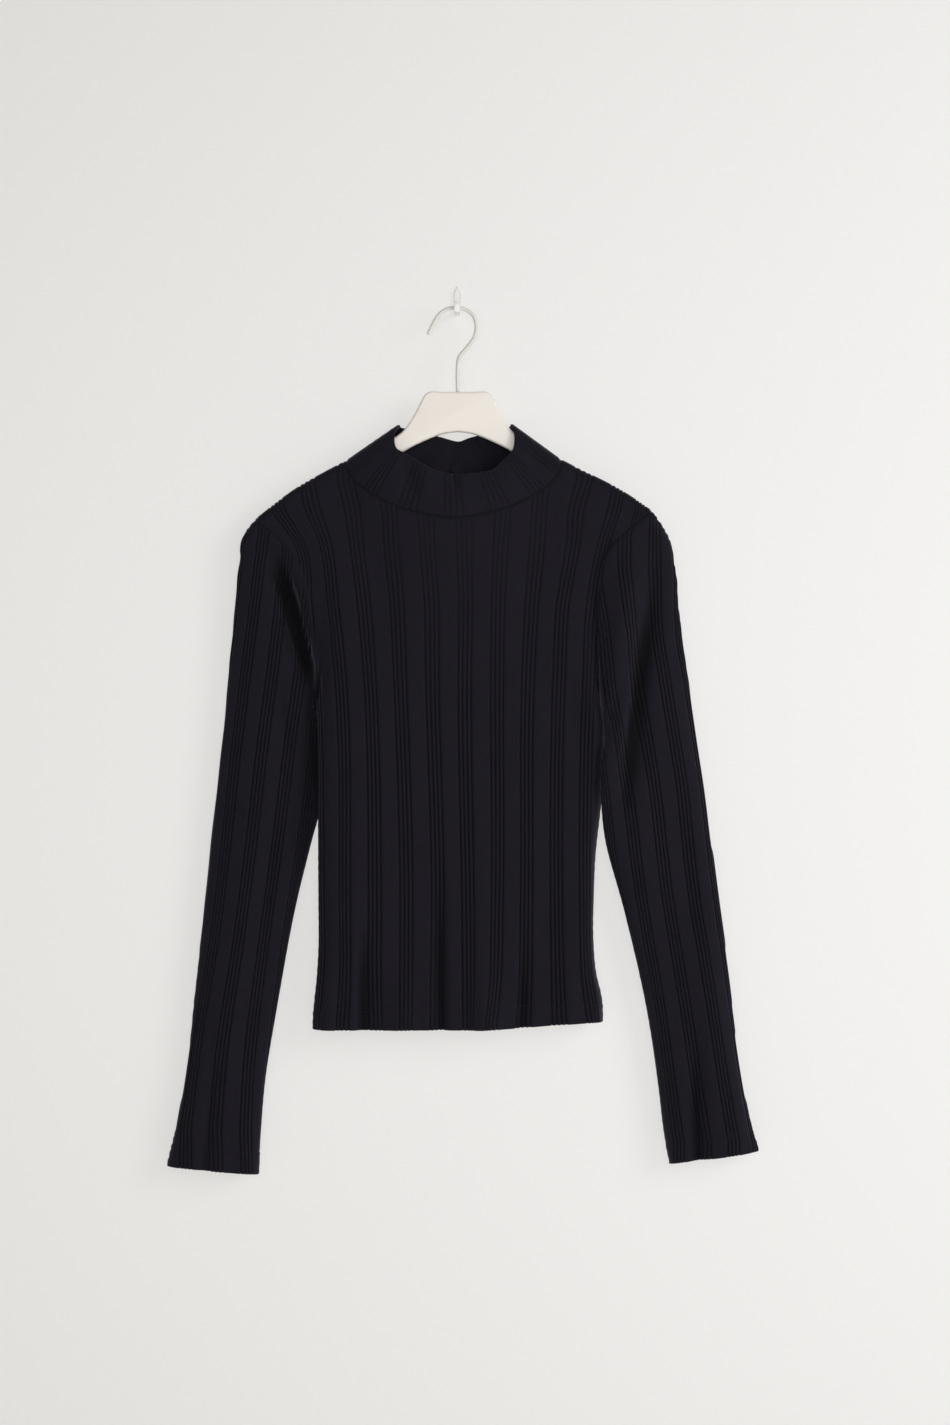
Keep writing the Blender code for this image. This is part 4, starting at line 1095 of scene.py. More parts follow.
def turned_rows(sheet, relief, radius, reach):
    """Rows that take the cloth round its last edge and back up inside to the given reach."""
    ahead = unit(sheet.points[-1] - sheet.points[-2])
    normal = sheet.normals[-1]
    centre = sheet.points[-1] + normal * (relief.shift[-1] - radius)[:, None]
    rows, lengths = [], []
    for step in range(1, TURN_STEPS + 1):
        share = step / (TURN_STEPS + 1)
        out = ahead * math.sin(math.pi * share) + normal * math.cos(math.pi * share)
        skin = blend(relief.skin[-1], relief.inner_skin[-1], share)
        rows.append(centre + out * (radius + skin)[:, None])
        lengths.append(np.pi * radius * share)
    turned = [row for row in range(len(sheet.hem) - 1, -1, -1) if sheet.hem[row].mean() <= reach]
    for row in turned:
        depth = relief.shift[row] - 2 * radius - relief.inner_skin[row]
        rows.append(sheet.points[row] + sheet.normals[row] * depth[:, None])
        lengths.append(np.pi * radius + sheet.hem[row].mean())
    return np.array(rows), np.array(lengths)


def sheet_grid(name, sheet, relief, turn, start, sides):
    """A sheet as a grid mesh: seam allowances, outer face, turned edge, map and painted shade."""
    places = sheet.points + sheet.normals * (relief.shift + relief.skin)[..., None]
    # depth carries the painted shade of the grooves, seams and creases, not a depth
    rib, along, depth = sheet.rib, sheet.along + start, relief.shade
    at_seam = (sheet.seam < ON_SEAM)[..., None]
    outer = len(places)
    inward = -sheet.normals * FLANGE * at_seam
    lean = (places[1] - places[0]) * FLANGE_LEAN
    first_row = places[0] + inward[0] + lean * at_seam[0]
    first_side, last_side = (
        places[:, edge] + inward[:, edge] + (places[:, near] - places[:, edge]) * SIDE_LEAN
        for edge, near in ((0, SIDE_COLUMNS), (-1, -1 - SIDE_COLUMNS))
    )
    if turn:
        more, lengths = turned_rows(sheet, relief, *turn)
        places = np.concatenate([places, more])
        rib = np.concatenate([rib, np.repeat(rib[-1:], len(more), axis=0)])
        along = np.concatenate([along, along[-1:] + lengths[:, None]])
        # The turned rows keep part of the edge's painted shade
        depth = np.concatenate([depth, np.repeat(depth[-1:] * TURNED_SHADE, len(more), axis=0)])
    places = np.concatenate([first_row[None], places])
    rib, along, depth = (np.concatenate([values[:1], values]) for values in (rib, along, depth))
    if sides:
        left, right = places[:, :1].copy(), places[:, -1:].copy()
        left[1:outer + 1, 0] = np.where(at_seam[:, 0], first_side, left[1:outer + 1, 0])
        right[1:outer + 1, 0] = np.where(at_seam[:, -1], last_side, right[1:outer + 1, 0])
        places = np.concatenate([left, places, right], axis=1)
        rib, along, depth = (
            np.concatenate([values[:, :1], values, values[:, -1:]], axis=1)
            for values in (rib, along, depth)
        )
    return grid_mesh(name, places, rib, along, depth)


def grid_mesh(name, places, rib, along, depth):
    """A flat grid whose corners are moved to their places."""
    rows, columns = rib.shape
    shape = bmesh.new()
    bmesh.ops.create_grid(shape, x_segments=columns - 1, y_segments=rows - 1, size=0.5)
    data = bpy.data.meshes.new(name)
    shape.to_mesh(data)
    shape.free()
    flat = np.empty(len(data.vertices) * 3)
    data.vertices.foreach_get("co", flat)
    flat = flat.reshape(-1, 3)
    column = np.rint((flat[:, 0] + 0.5) * (columns - 1)).astype(int)
    row = rows - 1 - np.rint((flat[:, 1] + 0.5) * (rows - 1)).astype(int)
    data.vertices.foreach_set("co", (places[row, column] * MM).ravel())
    corner = np.empty(len(data.loops), dtype=np.int32)
    data.loops.foreach_get("vertex_index", corner)
    spots = stack(rib[row, column] * RIB_PITCH * MM, along[row, column] * MM)
    data.uv_layers.new(name="cloth").data.foreach_set("uv", spots[corner].ravel())
    # The "groove" attribute holds the painted shade of the grooves, seams and deep creases
    data.attributes.new("groove", "FLOAT", "POINT").data.foreach_set("value", depth[row, column])
    return data


def add_object(name, shape, material):
    """A bmesh as a named object of the scene."""
    data = bpy.data.meshes.new(name)
    shape.to_mesh(data)
    shape.free()
    data.materials.append(material)
    made = bpy.data.objects.new(name, data)
    bpy.context.scene.collection.objects.link(made)
    return made


def finish_cloth(name, meshes, outward, settings, node):
    """Join a piece's grids, close what meets, face it outwards, give it its wall and name it."""
    shape = bmesh.new()
    for data in meshes:
        shape.from_mesh(data)
        bpy.data.meshes.remove(data)
    bmesh.ops.remove_doubles(shape, verts=shape.verts[:], dist=MERGE * MM)
    thin = [edge for edge in shape.edges if edge.calc_length() < MERGE * MM]
    bmesh.ops.dissolve_degenerate(shape, edges=thin, dist=MERGE * MM)
    loose = [vert for vert in shape.verts if not vert.link_faces]
    bmesh.ops.delete(shape, geom=loose, context="VERTS")
    bmesh.ops.recalc_face_normals(shape, faces=shape.faces[:])
    probe = max(shape.faces, key=lambda face: face.calc_center_median().dot(Vector(outward)))
    if probe.normal.dot(Vector(outward)) < 0:
        bmesh.ops.reverse_faces(shape, faces=shape.faces[:])
    for face in shape.faces:
        face.smooth = True
    piece = add_object(name, shape, knit_finish(settings))
    wall = piece.modifiers.new("Knit wall", "SOLIDIFY")
    wall.thickness = settings.knit_wall
    wall.offset = -1.0
    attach(piece, "root")
    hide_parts(node)


# ---- finishes -------------------------------------------------------------------------------

class Mask:
    """A value of the shading, which goes into sums and products as a number does."""

    def __init__(self, finish, socket):
        self.finish = finish
        self.socket = socket

    def joined(self, operation, first, second=None):
        values = {0: first} if second is None else {0: first, 1: second}
        return self.finish.value("ShaderNodeMath", {"operation": operation}, values)

    def __add__(self, other):
        return self.joined("ADD", self, other)

    def __radd__(self, other):
        return self.joined("ADD", other, self)

    def __sub__(self, other):
        return self.joined("SUBTRACT", self, other)

    def __rsub__(self, other):
        return self.joined("SUBTRACT", other, self)

    def __mul__(self, other):
        return self.joined("MULTIPLY", self, other)

    def __rmul__(self, other):
        return self.joined("MULTIPLY", other, self)

    def __pow__(self, other):
        return self.joined("POWER", self, other)

    def __abs__(self):
        return self.joined("ABSOLUTE", self)

    def sine(self):
        return self.joined("SINE", self)


class Finish:
    """A surface finish that is made of nodes round one shader."""

    def __init__(self, name, constants):
        self.material = bpy.data.materials.new(name)
        self.material.use_nodes = True
        self.nodes = self.material.node_tree.nodes
        self.shader = self.nodes["Principled BSDF"]
        for socket, value in constants.items():
            self.shader.inputs[socket].default_value = value

    def node(self, kind, settings, values):
        made = self.nodes.new(kind)
        for setting, value in settings.items():
            setattr(made, setting, value)
        for socket, value in values.items():
            if isinstance(value, Mask):
                self.material.node_tree.links.new(value.socket, made.inputs[socket])
            else:
                made.inputs[socket].default_value = value
        return made

    def value(self, kind, settings, values, output=0):
        return Mask(self, self.node(kind, settings, values).outputs[output])

    def place(self):
        """Place on the object."""
        return self.value("ShaderNodeTexCoord", {}, {}, "Object")

    def parts(self, place, *which):
        """Some of the three numbers of a place."""
        split = self.node("ShaderNodeSeparateXYZ", {}, {0: place})
        return [Mask(self, split.outputs[part]) for part in which]

    def feed(self, socket, value):
        self.material.node_tree.links.new(value.socket, self.shader.inputs[socket])

    def noise(self, place, scale, detail):
        values = {"Vector": place, "Scale": scale, "Detail": detail}
        return self.value("ShaderNodeTexNoise", {}, values)

    def mixed(self, share, first, second):
        values = {0: share, 6: first, 7: second}
        return self.value("ShaderNodeMix", {"data_type": "RGBA"}, values, 2)

    def bumped(self, height, distance, strength):
        values = {"Height": height, "Distance": distance, "Strength": strength}
        return self.value("ShaderNodeBump", {}, values)


# Stitches of the knit, width and height in metres; how they slant and round off, and how much
# painted shade darkens the yarn between them
WALE = 0.00105
COURSE = 0.00085
COURSE_SHARE = 0.28
STITCH_SLANT = 2.6
STITCH_ROUND = 0.6
BETWEEN_STITCHES = 0.55
SHINE_TINT = (0.9, 0.86, 1.0, 1.0)
NAP_TINT = (0.82, 0.76, 1.0, 1.0)

# Patches and grains to the metre, and heights of bumps in metres
KNIT_PATCHES = 26.0
PLASTIC_PATCHES = 14.0
WALL_PATCHES = 1.5
RUBBED_SIZE = 60.0
FINE_GRAIN = 900.0
METAL_GRAIN = 1500.0
KNIT_BUMP = 0.0002
PLASTIC_BUMP = 0.00004
LACQUER_BUMP = 0.00003


def shaded(colour, factor):
    return tuple(channel * factor for channel in colour) + (1.0,)


def knit_finish(settings):
    """Near-black rib knit: small plaited stitches with painted shade between them, painted shade in
    the grooves, along the seams and in deep creases, and a soft nap.
    """
    made = bpy.data.materials.get("Rib knit")
    if made:
        return made
    finish = Finish("Rib knit", {
        "Specular IOR Level": 0.16, "Specular Tint": SHINE_TINT,
        "Sheen Weight": 0.16, "Sheen Roughness": 0.4, "Sheen Tint": NAP_TINT,
    })
    spot = finish.value("ShaderNodeUVMap", {"uv_map": "cloth"}, {})
    across, along = finish.parts(spot, 0, 1)
    # Painted shade of the grooves, seams and deep creases, from the cloth's "groove" attribute
    painted_shade_mask = finish.value("ShaderNodeAttribute", {"attribute_name": "groove"}, {}, "Fac")
    place = finish.place()
    wale = abs((across * (math.pi / WALE)).sine())
    course = (along * (2 * math.pi / COURSE) + wale * STITCH_SLANT).sine()
    stitch = wale ** STITCH_ROUND * (1 - COURSE_SHARE + COURSE_SHARE * course)
    cloud, lint = finish.noise(place, KNIT_PATCHES, 3.0), finish.noise(place, FINE_GRAIN, 2.0)
    shade = finish.mixed(cloud, shaded(settings.colour, 0.86), shaded(settings.colour, 1.14))
    # Painted shade between the stitches: the yarn's colour darkened towards black where the loops
    # dip
    between = finish.mixed(BETWEEN_STITCHES, shade, (0, 0, 0, 1))
    shade = finish.mixed(stitch * 0.5 + lint * 0.3, between, shade)
    # Painted shade: the yarn's colour darkened to 4 % of itself where that mask is full
    shade = finish.mixed(painted_shade_mask * settings.painted_shade_strength, shade, shaded(settings.colour, 0.04))
    finish.feed("Base Color", shade)
    finish.feed("Roughness", 0.8 + 0.14 * lint)
    finish.feed("Normal", finish.bumped(stitch + 0.4 * lint, KNIT_BUMP, 0.6))
    return finish.material


def plastic_finish(settings):
    """Cream moulded plastic with a faint grain and slightly duller patches."""
    finish = Finish("Cream plastic", {"Specular IOR Level": 0.4})
    place = finish.place()
    cloud, grain = finish.noise(place, PLASTIC_PATCHES, 3.0), finish.noise(place, FINE_GRAIN, 2.0)
    colour = settings.hanger_colour
    finish.feed("Base Color", finish.mixed(cloud, shaded(colour, 0.97), shaded(colour, 1.03)))
    finish.feed("Roughness", 0.42 + 0.12 * cloud)
    finish.feed("Normal", finish.bumped(grain, PLASTIC_BUMP, 0.5))
    return finish.material


def lacquer_finish(name, colour, roughness):
    """Lacquered metal: nearly even colour with faint rubbed streaks along its length."""
    finish = Finish(name, {"Specular IOR Level": 0.5, "Coat Weight": 0.3, "Coat Roughness": 0.2})
    place = finish.place()
    rubbed, grain = finish.noise(place, RUBBED_SIZE, 4.0), finish.noise(place, METAL_GRAIN, 2.0)
    finish.feed("Base Color", finish.mixed(rubbed, shaded(colour, 0.94), shaded(colour, 1.04)))
    finish.feed("Roughness", roughness + 0.12 * rubbed)
    finish.feed("Normal", finish.bumped(grain, LACQUER_BUMP, 0.4))
    return finish.material


# Wall paint: how much of its light it takes from the lights, the rest being painted light, a glow
# that stands in for the lamps' light and lifts the shadows, weakest at the upper left and strongest
# at the right
WALL_SHARE = 0.3
GLOW_LOW = (0.516, 0.506, 0.490, 1.0)
GLOW_HIGH = (0.650, 0.638, 0.628, 1.0)
GLOW_LEFT = -0.42
GLOW_BASE = 0.4
GLOW_RISE = 0.65
GLOW_MIDDLE = -0.45
GLOW_HEIGHT = 1.5
GLOW_BEND = 0.3


def stage_finish(name, colour, glows):
    """Matt paint; a wall that glows carries painted light, a glow brighter to the right, and is
    clear from behind.
    """
    finish = Finish(name, {
        "Roughness": 0.9, "Specular IOR Level": 0.1, "Emission Strength": 1.0 if glows else 0.0,
    })
    place = finish.place()
    cloud = finish.noise(place, WALL_PATCHES, 2.0)
    finish.feed("Base Color", finish.mixed(cloud, shaded(colour, 0.99), shaded(colour, 1.01)))
    if glows:
        across, up = finish.parts(place, 0, 2)
        bend = ((up - GLOW_MIDDLE) * GLOW_HEIGHT) ** 2 * GLOW_BEND
        glow = GLOW_BASE + (across - GLOW_LEFT) * GLOW_RISE - bend
        # Painted light: the glow rises to the right and falls off above and below the middle height
        finish.feed("Emission Color", finish.mixed(glow, GLOW_LOW, GLOW_HIGH))
        behind = finish.value("ShaderNodeNewGeometry", {}, {}, "Backfacing")
        clear = finish.value("ShaderNodeBsdfTransparent", {}, {})
        paint = Mask(finish, finish.shader.outputs[0])
        seen = finish.value("ShaderNodeMixShader", {}, {0: behind, 1: paint, 2: clear})
        finish.material.node_tree.links.new(seen.socket, finish.nodes["Material Output"].inputs[0])
    return finish.material


# ---- hanger and hooks -----------------------------------------------------------------------

HANGER_MIDDLE_X = 0.5
HANGER_CORNERS = 200
HANGER_EDGE = 2.4
HANGER_EDGE_STEPS = 5
RIM_ANGLE = 1.2

# Hanger, alike on both sides of its middle: distance from the middle, top edge, under edge
HANGER_OUTLINE = (
    (0.0, -85.0, -122.0),
    (14.0, -85.0, -124.0),
    (27.0, -85.0, -128.8),
    (30.5, -87.0, -130.3),
    (33.0, -91.5, -131.5),
    (38.5, -102.5, -134.0),
    (45.0, -113.5, -137.5),
    (51.0, -121.5, -141.0),
    (60.0, -128.2, -146.5),
    (75.0, -138.2, -157.0),
    (96.5, -153.6, -171.0),
    (110.0, -160.8, -178.5),
    (132.0, -172.6, -191.5),
    (152.0, -183.4, -201.0),
    (163.0, -190.8, -206.0),
    (168.0, -196.5, -204.5),
)

# Wire hook from its tip to the hanger's top: share of the way, x, z
WIRE_STEPS = 90
WIRE_TIP_STEPS = 6
WIRE_ROUTE = (
    (0.00, -26.5, -29.8),
    (0.11, -17.2, -13.2),
    (0.18, -9.8, -7.8),
    (0.25, -0.9, -6.5),
    (0.32, 7.6, -8.0),
    (0.40, 14.8, -13.6),
    (0.49, 18.0, -23.5),
    (0.58, 16.0, -34.0),
    (0.68, 9.0, -43.6),
    (0.80, 1.6, -53.5),
    (0.87, 0.5, -61.0),
    (1.00, 0.5, -84.65),
)

# Wall hook: a strip with its flat back on the wall, bent forward under the wire and up again
STRIP_WIDTH = 5.6
STRIP_THICKNESS = 2.2
STRIP_SHOULDER = 9.0
STRIP_TIP = 16.3
STRIP_POINT_SHARE = 0.12
STRIP_EDGE = 0.5
STRIP_EDGE_STEPS = 3
STRIP_ANGLE = 0.3
SHELF_TOP = -8.75
SHELF_REACH = -30.0
LIP_TOP = -2.0


def finish_solid(name, shape, node, material):
    """A hard piece: its mesh faced outwards, on the object's body."""
    bmesh.ops.recalc_face_normals(shape, faces=shape.faces[:])
    for face in shape.faces:
        face.smooth = True
    piece = add_object(name, shape, material)
    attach(piece, "root")
    if node:
        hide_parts(node)


def sharp_edges(shape, least):
    """Edges where the surface turns by more than the given angle."""
    inner = [edge for edge in shape.edges if len(edge.link_faces) == 2]
    return [edge for edge in inner if edge.calc_face_angle() > least]


def draw_out(shape, faces, way):
    """Turn flat faces into a solid by moving a copy of them."""
    made = bmesh.ops.extrude_face_region(shape, geom=faces)
    moved = [vert for vert in made["geom"] if isinstance(vert, bmesh.types.BMVert)]
    bmesh.ops.translate(shape, vec=way, verts=moved)


def round_over(shape, edges, reach, segments):
    bmesh.ops.bevel(
        shape, geom=edges, offset=reach * MM, offset_type="OFFSET", affect="EDGES",
        segments=segments, profile=0.5, material=-1, clamp_overlap=True,
    )


def hanger_outline():
    """The hanger's outline as a closed line, evenly spaced."""
    rows = np.array(HANGER_OUTLINE)
    top, under = rows[:, [0, 1]], rows[::-1][:, [0, 2]]
    half = np.concatenate([top, under])
    run = running(half, 0)
    table = np.column_stack([run, half])
    even = np.linspace(0, run[-1], HANGER_CORNERS // 2 + 1)
    corners = np.array(smooth(table, even))
    corners[:, 0] = corners[:, 0].clip(0)
    mirrored = corners[::-1][1:-1] * (-1, 1)
    return np.concatenate([corners, mirrored])


def build_hanger(settings):
    """Flat hanger body: its outline filled, given its thickness, edges rounded over."""
    outline = hanger_outline()
    shape = bmesh.new()
    ring = bmesh.ops.create_circle(shape, segments=len(outline), radius=1.0, cap_ends=True)["verts"]
    back = HANGER_Y + settings.hanger_thickness / MM / 2
    for vert, (x, z) in zip(ring, outline):
        vert.co = Vector((HANGER_MIDDLE_X + x, back, z)) * MM
    draw_out(shape, shape.faces[:], (0, -settings.hanger_thickness, 0))
    bmesh.ops.recalc_face_normals(shape, faces=shape.faces[:])
    rims = [
        edge for edge in sharp_edges(shape, RIM_ANGLE)
        if abs(edge.verts[0].co.y - edge.verts[1].co.y) < 1e-6
    ]
    round_over(shape, rims, HANGER_EDGE, HANGER_EDGE_STEPS)
    finish_solid("hanger_body", shape, "hanger", plastic_finish(settings))


def build_wire(settings):
    """Round wire bent to a hook, its cut end rounded over."""
    radius = settings.wire_diameter / MM / 2
    route = smooth(WIRE_ROUTE, np.linspace(0, 1, WIRE_STEPS))
    data = bpy.data.curves.new("wire_route", "CURVE")
    data.dimensions = "3D"
    data.bevel_depth = radius * MM
    data.bevel_resolution = 6
    data.use_fill_caps = True
    ahead = unit(route[1] - route[0])
    turns = np.linspace(0.1, np.pi / 2, WIRE_TIP_STEPS)
    tip = [route[0] - ahead * radius * math.cos(turn) for turn in turns[:-1]]
    places = np.concatenate([tip, route])
    sizes = np.concatenate([np.sin(turns[:-1]), np.ones(len(route))])
    spline = data.splines.new("POLY")
    spline.points.add(len(places) - 1)
    for point, (x, z), size in zip(spline.points, places, sizes):
        point.co = (x * MM, HANGER_Y * MM, z * MM, 1.0)
        point.radius = size
    route_piece = bpy.data.objects.new("wire_route", data)
    shape = bmesh.new()
    shape.from_mesh(route_piece.to_mesh())
    route_piece.to_mesh_clear()
    bpy.data.objects.remove(route_piece)
    bpy.data.curves.remove(data)
    bmesh.ops.remove_doubles(shape, verts=shape.verts[:], dist=0.01 * MM)
    material = lacquer_finish("Wire lacquer", settings.wire_colour, 0.3)
    finish_solid("wire_hook", shape, "hanger_hook", material)


def build_wall_hook(settings):
    """Strip hook: its side view as one face, drawn out to its width, the top brought to a point."""
    under = SHELF_TOP - STRIP_THICKNESS
    side_view = (
        (0.0, STRIP_TIP),
        (0.0, STRIP_SHOULDER),
        (0.0, under),
        (SHELF_REACH, under),
        (SHELF_REACH, LIP_TOP),
        (SHELF_REACH + STRIP_THICKNESS, LIP_TOP),
        (SHELF_REACH + STRIP_THICKNESS, SHELF_TOP),
        (-STRIP_THICKNESS, SHELF_TOP),
        (-STRIP_THICKNESS, STRIP_SHOULDER),
        (-STRIP_THICKNESS, STRIP_TIP),
    )
    shape = bmesh.new()
    corners = [shape.verts.new(Vector((-STRIP_WIDTH / 2, y, z)) * MM) for y, z in side_view]
    face = shape.faces.new(corners)
    draw_out(shape, [face], (STRIP_WIDTH * MM, 0, 0))
    for vert in shape.verts:
        if vert.co.z > (STRIP_SHOULDER + 1) * MM:
            vert.co.x *= STRIP_POINT_SHARE
    bmesh.ops.recalc_face_normals(shape, faces=shape.faces[:])
    round_over(shape, sharp_edges(shape, STRIP_ANGLE), STRIP_EDGE, STRIP_EDGE_STEPS)
    material = lacquer_finish("Hook lacquer", settings.hook_colour, 0.35)
    finish_solid("strip_hook", shape, "wall_hook", material)


# ---- stitches -------------------------------------------------------------------------------

STITCH_PITCH = 2.9
STITCH_LENGTH = 2.3
STITCH_WIDTH = 0.5
STITCH_PROUD = 0.1


def stitch_line(sheet, relief, distance):
    """The line a row of stitches follows across a sheet, at a distance above its hem."""
    places = sheet.points + sheet.normals * (relief.shift + relief.skin)[..., None]
    hem = sheet.hem.mean(axis=1)
    low = int(np.searchsorted(-hem, -distance)) - 1
    share = (hem[low] - distance) / (hem[low] - hem[low + 1])
    line = blend(places[low], places[low + 1], share)
    normals = sheet.normals[low]
    return line, normals


def sew(shape, line, normals):
    """Lay short thread loops along a line, each standing a little out of the cloth."""
    run = running(line, 0)
    steps = np.arange(STITCH_PITCH / 2, run[-1] - STITCH_PITCH / 2, STITCH_PITCH)
    offsets = (-STITCH_LENGTH / 2, 0.0, STITCH_LENGTH / 2)
    ends = [at_lengths(steps + offset, run, line) for offset in offsets]
    outward = at_lengths(steps, run, normals)
    for first, middle, last, out in zip(*ends, outward):
        along = Vector(last - first).normalized()
        out = Vector(out).normalized()
        side = along.cross(out).normalized()
        out = side.cross(along)
        turn = Matrix((along, side, out)).transposed().to_4x4()
        middle = Vector((first + middle + last) / 3) * MM
        place = Matrix.Translation(middle + out * STITCH_PROUD * MM)
        size = Matrix.Diagonal(Vector((STITCH_LENGTH / 2, STITCH_WIDTH / 2, STITCH_WIDTH / 2, 1.0)))
        size = Matrix.Scale(MM, 4) @ size
        bmesh.ops.create_icosphere(shape, subdivisions=1, radius=1.0, matrix=place @ turn @ size)


# ---- settings -------------------------------------------------------------------------------

def colour_setting(name, description, default):
    return FloatVectorProperty(
        name=name, description=description, subtype="COLOR", min=0, max=1, default=default,
    )


def length_setting(name, description, default, least, most):
    return FloatProperty(
        name=name, description=description, subtype="DISTANCE", unit="LENGTH",
        min=least, max=most, default=default, precision=5,
    )


def power_setting(name, description, default):
    return FloatProperty(
        name=name, description=description, subtype="POWER", unit="POWER",
        min=0, max=500, default=default,
    )


class KnitSettings(bpy.types.PropertyGroup):
    colour: colour_setting("Knit Colour", "Colour of the yarn", (0.0128, 0.0117, 0.0177))
    # How strongly the painted shade of the grooves, seams and deep creases darkens the yarn
    painted_shade_strength: FloatProperty(
        name="Groove Shade", description="How much darker the ribs' grooves are", subtype="FACTOR",
        min=0, max=1, default=0.95,
    )
    groove_depth: length_setting(
        "Groove Depth", "Depth of the grooves between the ribs", 0.0013, 0, 0.002,
    )
    knit_wall: length_setting(
        "Knit Thickness", "Thickness of one layer of knit", 0.0009, 0.0003, 0.002,
    )
    hem_wave: length_setting(
        "Hem Wave", "How far the hems wave in and out with the ribs", 0.0003, 0, 0.004,
    )


class HangerSettings(bpy.types.PropertyGroup):
    hanger_colour: colour_setting(
        "Hanger Colour", "Colour of the moulded hanger", (0.88, 0.82, 0.75),
    )
    hanger_thickness: length_setting(
        "Hanger Thickness", "Front to back size of the hanger's body", 0.009, 0.004, 0.012,
    )
    wire_colour: colour_setting(
        "Wire Colour", "Colour of the hanger's wire hook", (0.72, 0.69, 0.63),
    )
    wire_diameter: length_setting(
        "Wire Diameter", "Thickness of the hanger's wire hook", 0.0035, 0.001, 0.006,
    )
    hook_colour: colour_setting(
        "Wall Hook Colour", "Colour of the hook on the wall", (0.82, 0.82, 0.80),
    )


class StudioSettings(bpy.types.PropertyGroup):
    wall_colour: colour_setting(
        "Wall Colour", "Colour of the wall and the floor", (0.86, 0.86, 0.84),
    )
    key_power: power_setting("Key Light", "Power of the soft light at the right", 49.0)
    fill_power: power_setting("Fill Light", "Power of the wide light in front", 56.0)
    back_power: power_setting("Back Light", "Power of the light for views from behind", 30.0)
    sky: FloatProperty(
        name="Room Light", description="Strength of the even light of the room",
        min=0, max=2, default=0.08,
    )


# ---- pieces of knit -------------------------------------------------------------------------

BOTH_EDGES = (True, True)
HEM_EDGE = (TURN_RADIUS, HEM_TURN)
FOLDED_EDGE = (COLLAR_TURN_RADIUS, 1000.0)

# Knit pieces: rib columns, edges (left, right) where each sheet is eased against a seam, phases of
# the ripples, creases in front and behind, turned edge (radius and reach), length at which each
# sheet starts, whether the side edges have seam allowances, and flat size and cut in metres
SLEEVE = {
    "columns": SLEEVE_COLUMNS, "soft": (BOTH_EDGES,), "turn": HEM_EDGE, "starts": (0.0,),
    "sides": False, "flat": (0.262, 0.60), "cut": 0.10,
}
KNIT_PIECES = {
    "front": {
        "columns": BODY_COLUMNS, "soft": (BOTH_EDGES,), "phases": (0.4, 1.9, 3.3),
        "creases": (FRONT_CREASES, None), "turn": HEM_EDGE, "starts": (FLAP_LENGTH,),
        "sides": True, "flat": (0.372, 0.53), "cut": 0.139,
    },
    "back": {
        "columns": BODY_COLUMNS, "soft": (BOTH_EDGES, (True, False), (False, True)),
        "phases": (2.7, 0.6, 5.1), "creases": (BACK_CREASES, None), "turn": HEM_EDGE,
        "starts": (FLAP_LENGTH, 0.0, 0.0), "sides": True, "flat": (0.372, 0.545), "cut": 0.145,
    },
    "sleeve_left": {
        **SLEEVE, "phases": (1.1, 4.0, 2.2), "creases": (LEFT_CREASES, LEFT_BACK_CREASES),
    },
    "sleeve_right": {
        **SLEEVE, "phases": (3.9, 0.2, 5.7), "creases": (RIGHT_CREASES, RIGHT_BACK_CREASES),
    },
    "collar": {
        "columns": COLLAR_COLUMNS, "soft": (BOTH_EDGES,), "phases": (5.2, 2.0, 0.9),
        "creases": (COLLAR_CREASES, None), "turn": FOLDED_EDGE, "starts": (0.0,),
        "sides": False, "flat": (0.486, 0.095), "cut": 0.0356,
    },
}


def build_knit(node, name, outward, settings):
    """One named piece of knit for a solid's node; gives back its sheets and their reliefs."""
    made, piece = garment(), KNIT_PIECES[node]
    meshes, laid = [], []
    for index, (form, field) in enumerate(made[node]):
        corners = made["corners"] if node in ("front", "back") and index == 0 else ()
        columns = rib_columns(*piece["columns"])
        sheet = Sheet(form, field, columns, made["seams"], piece["soft"][index], corners)
        hemmed = piece["turn"] is HEM_EDGE and index == 0
        relief = Relief(sheet, settings, hemmed, piece["phases"], *piece["creases"])
        turn = piece["turn"] if index == 0 else None
        meshes.append(sheet_grid(name, sheet, relief, turn, piece["starts"][index], piece["sides"]))
        laid.append((sheet, relief))
    finish_cloth(name, meshes, outward, settings, node)
    return laid


def sew_hem(name, laid, settings):
    """Two rows of stitches over each turned-up edge, as one piece."""
    shape = bmesh.new()
    for sheet, relief in laid:
        for distance in STITCH_ROWS:
            sew(shape, *stitch_line(sheet, relief, distance))
    finish_solid(name, shape, None, knit_finish(settings))


# ---- operators ------------------------------------------------------------------------------

class KNITTOP_OT_body(bpy.types.Operator):
    """Build the front and back panels with their turned-up hem"""

    bl_idname = "knit_top.body"
    bl_label = "Body Panels"

    def execute(self, context):
        settings = context.scene.knit_settings
        front = build_knit("front", "front_panel", (0, -1, 0), settings)
        back = build_knit("back", "back_panel", (0, 1, 0), settings)
        sew_hem("hem_stitches", front + back[:1], settings)
        return {"FINISHED"}


class KNITTOP_OT_sleeves(bpy.types.Operator):
    """Build both long sleeves with their turned-up cuffs"""

    bl_idname = "knit_top.sleeves"
    bl_label = "Sleeves"

    def execute(self, context):
        settings = context.scene.knit_settings
        for side in ("left", "right"):
            node = "sleeve_" + side
            laid = build_knit(node, node + "_knit", (0, -1, 0), settings)
            sew_hem("cuff_stitches_" + side, laid, settings)
        return {"FINISHED"}


class KNITTOP_OT_collar(bpy.types.Operator):
    """Build the stand-up collar, folded double at its top edge"""

    bl_idname = "knit_top.collar"
    bl_label = "Collar"

    def execute(self, context):
        build_knit("collar", "collar_band", (0, -1, 0), context.scene.knit_settings)
        return {"FINISHED"}


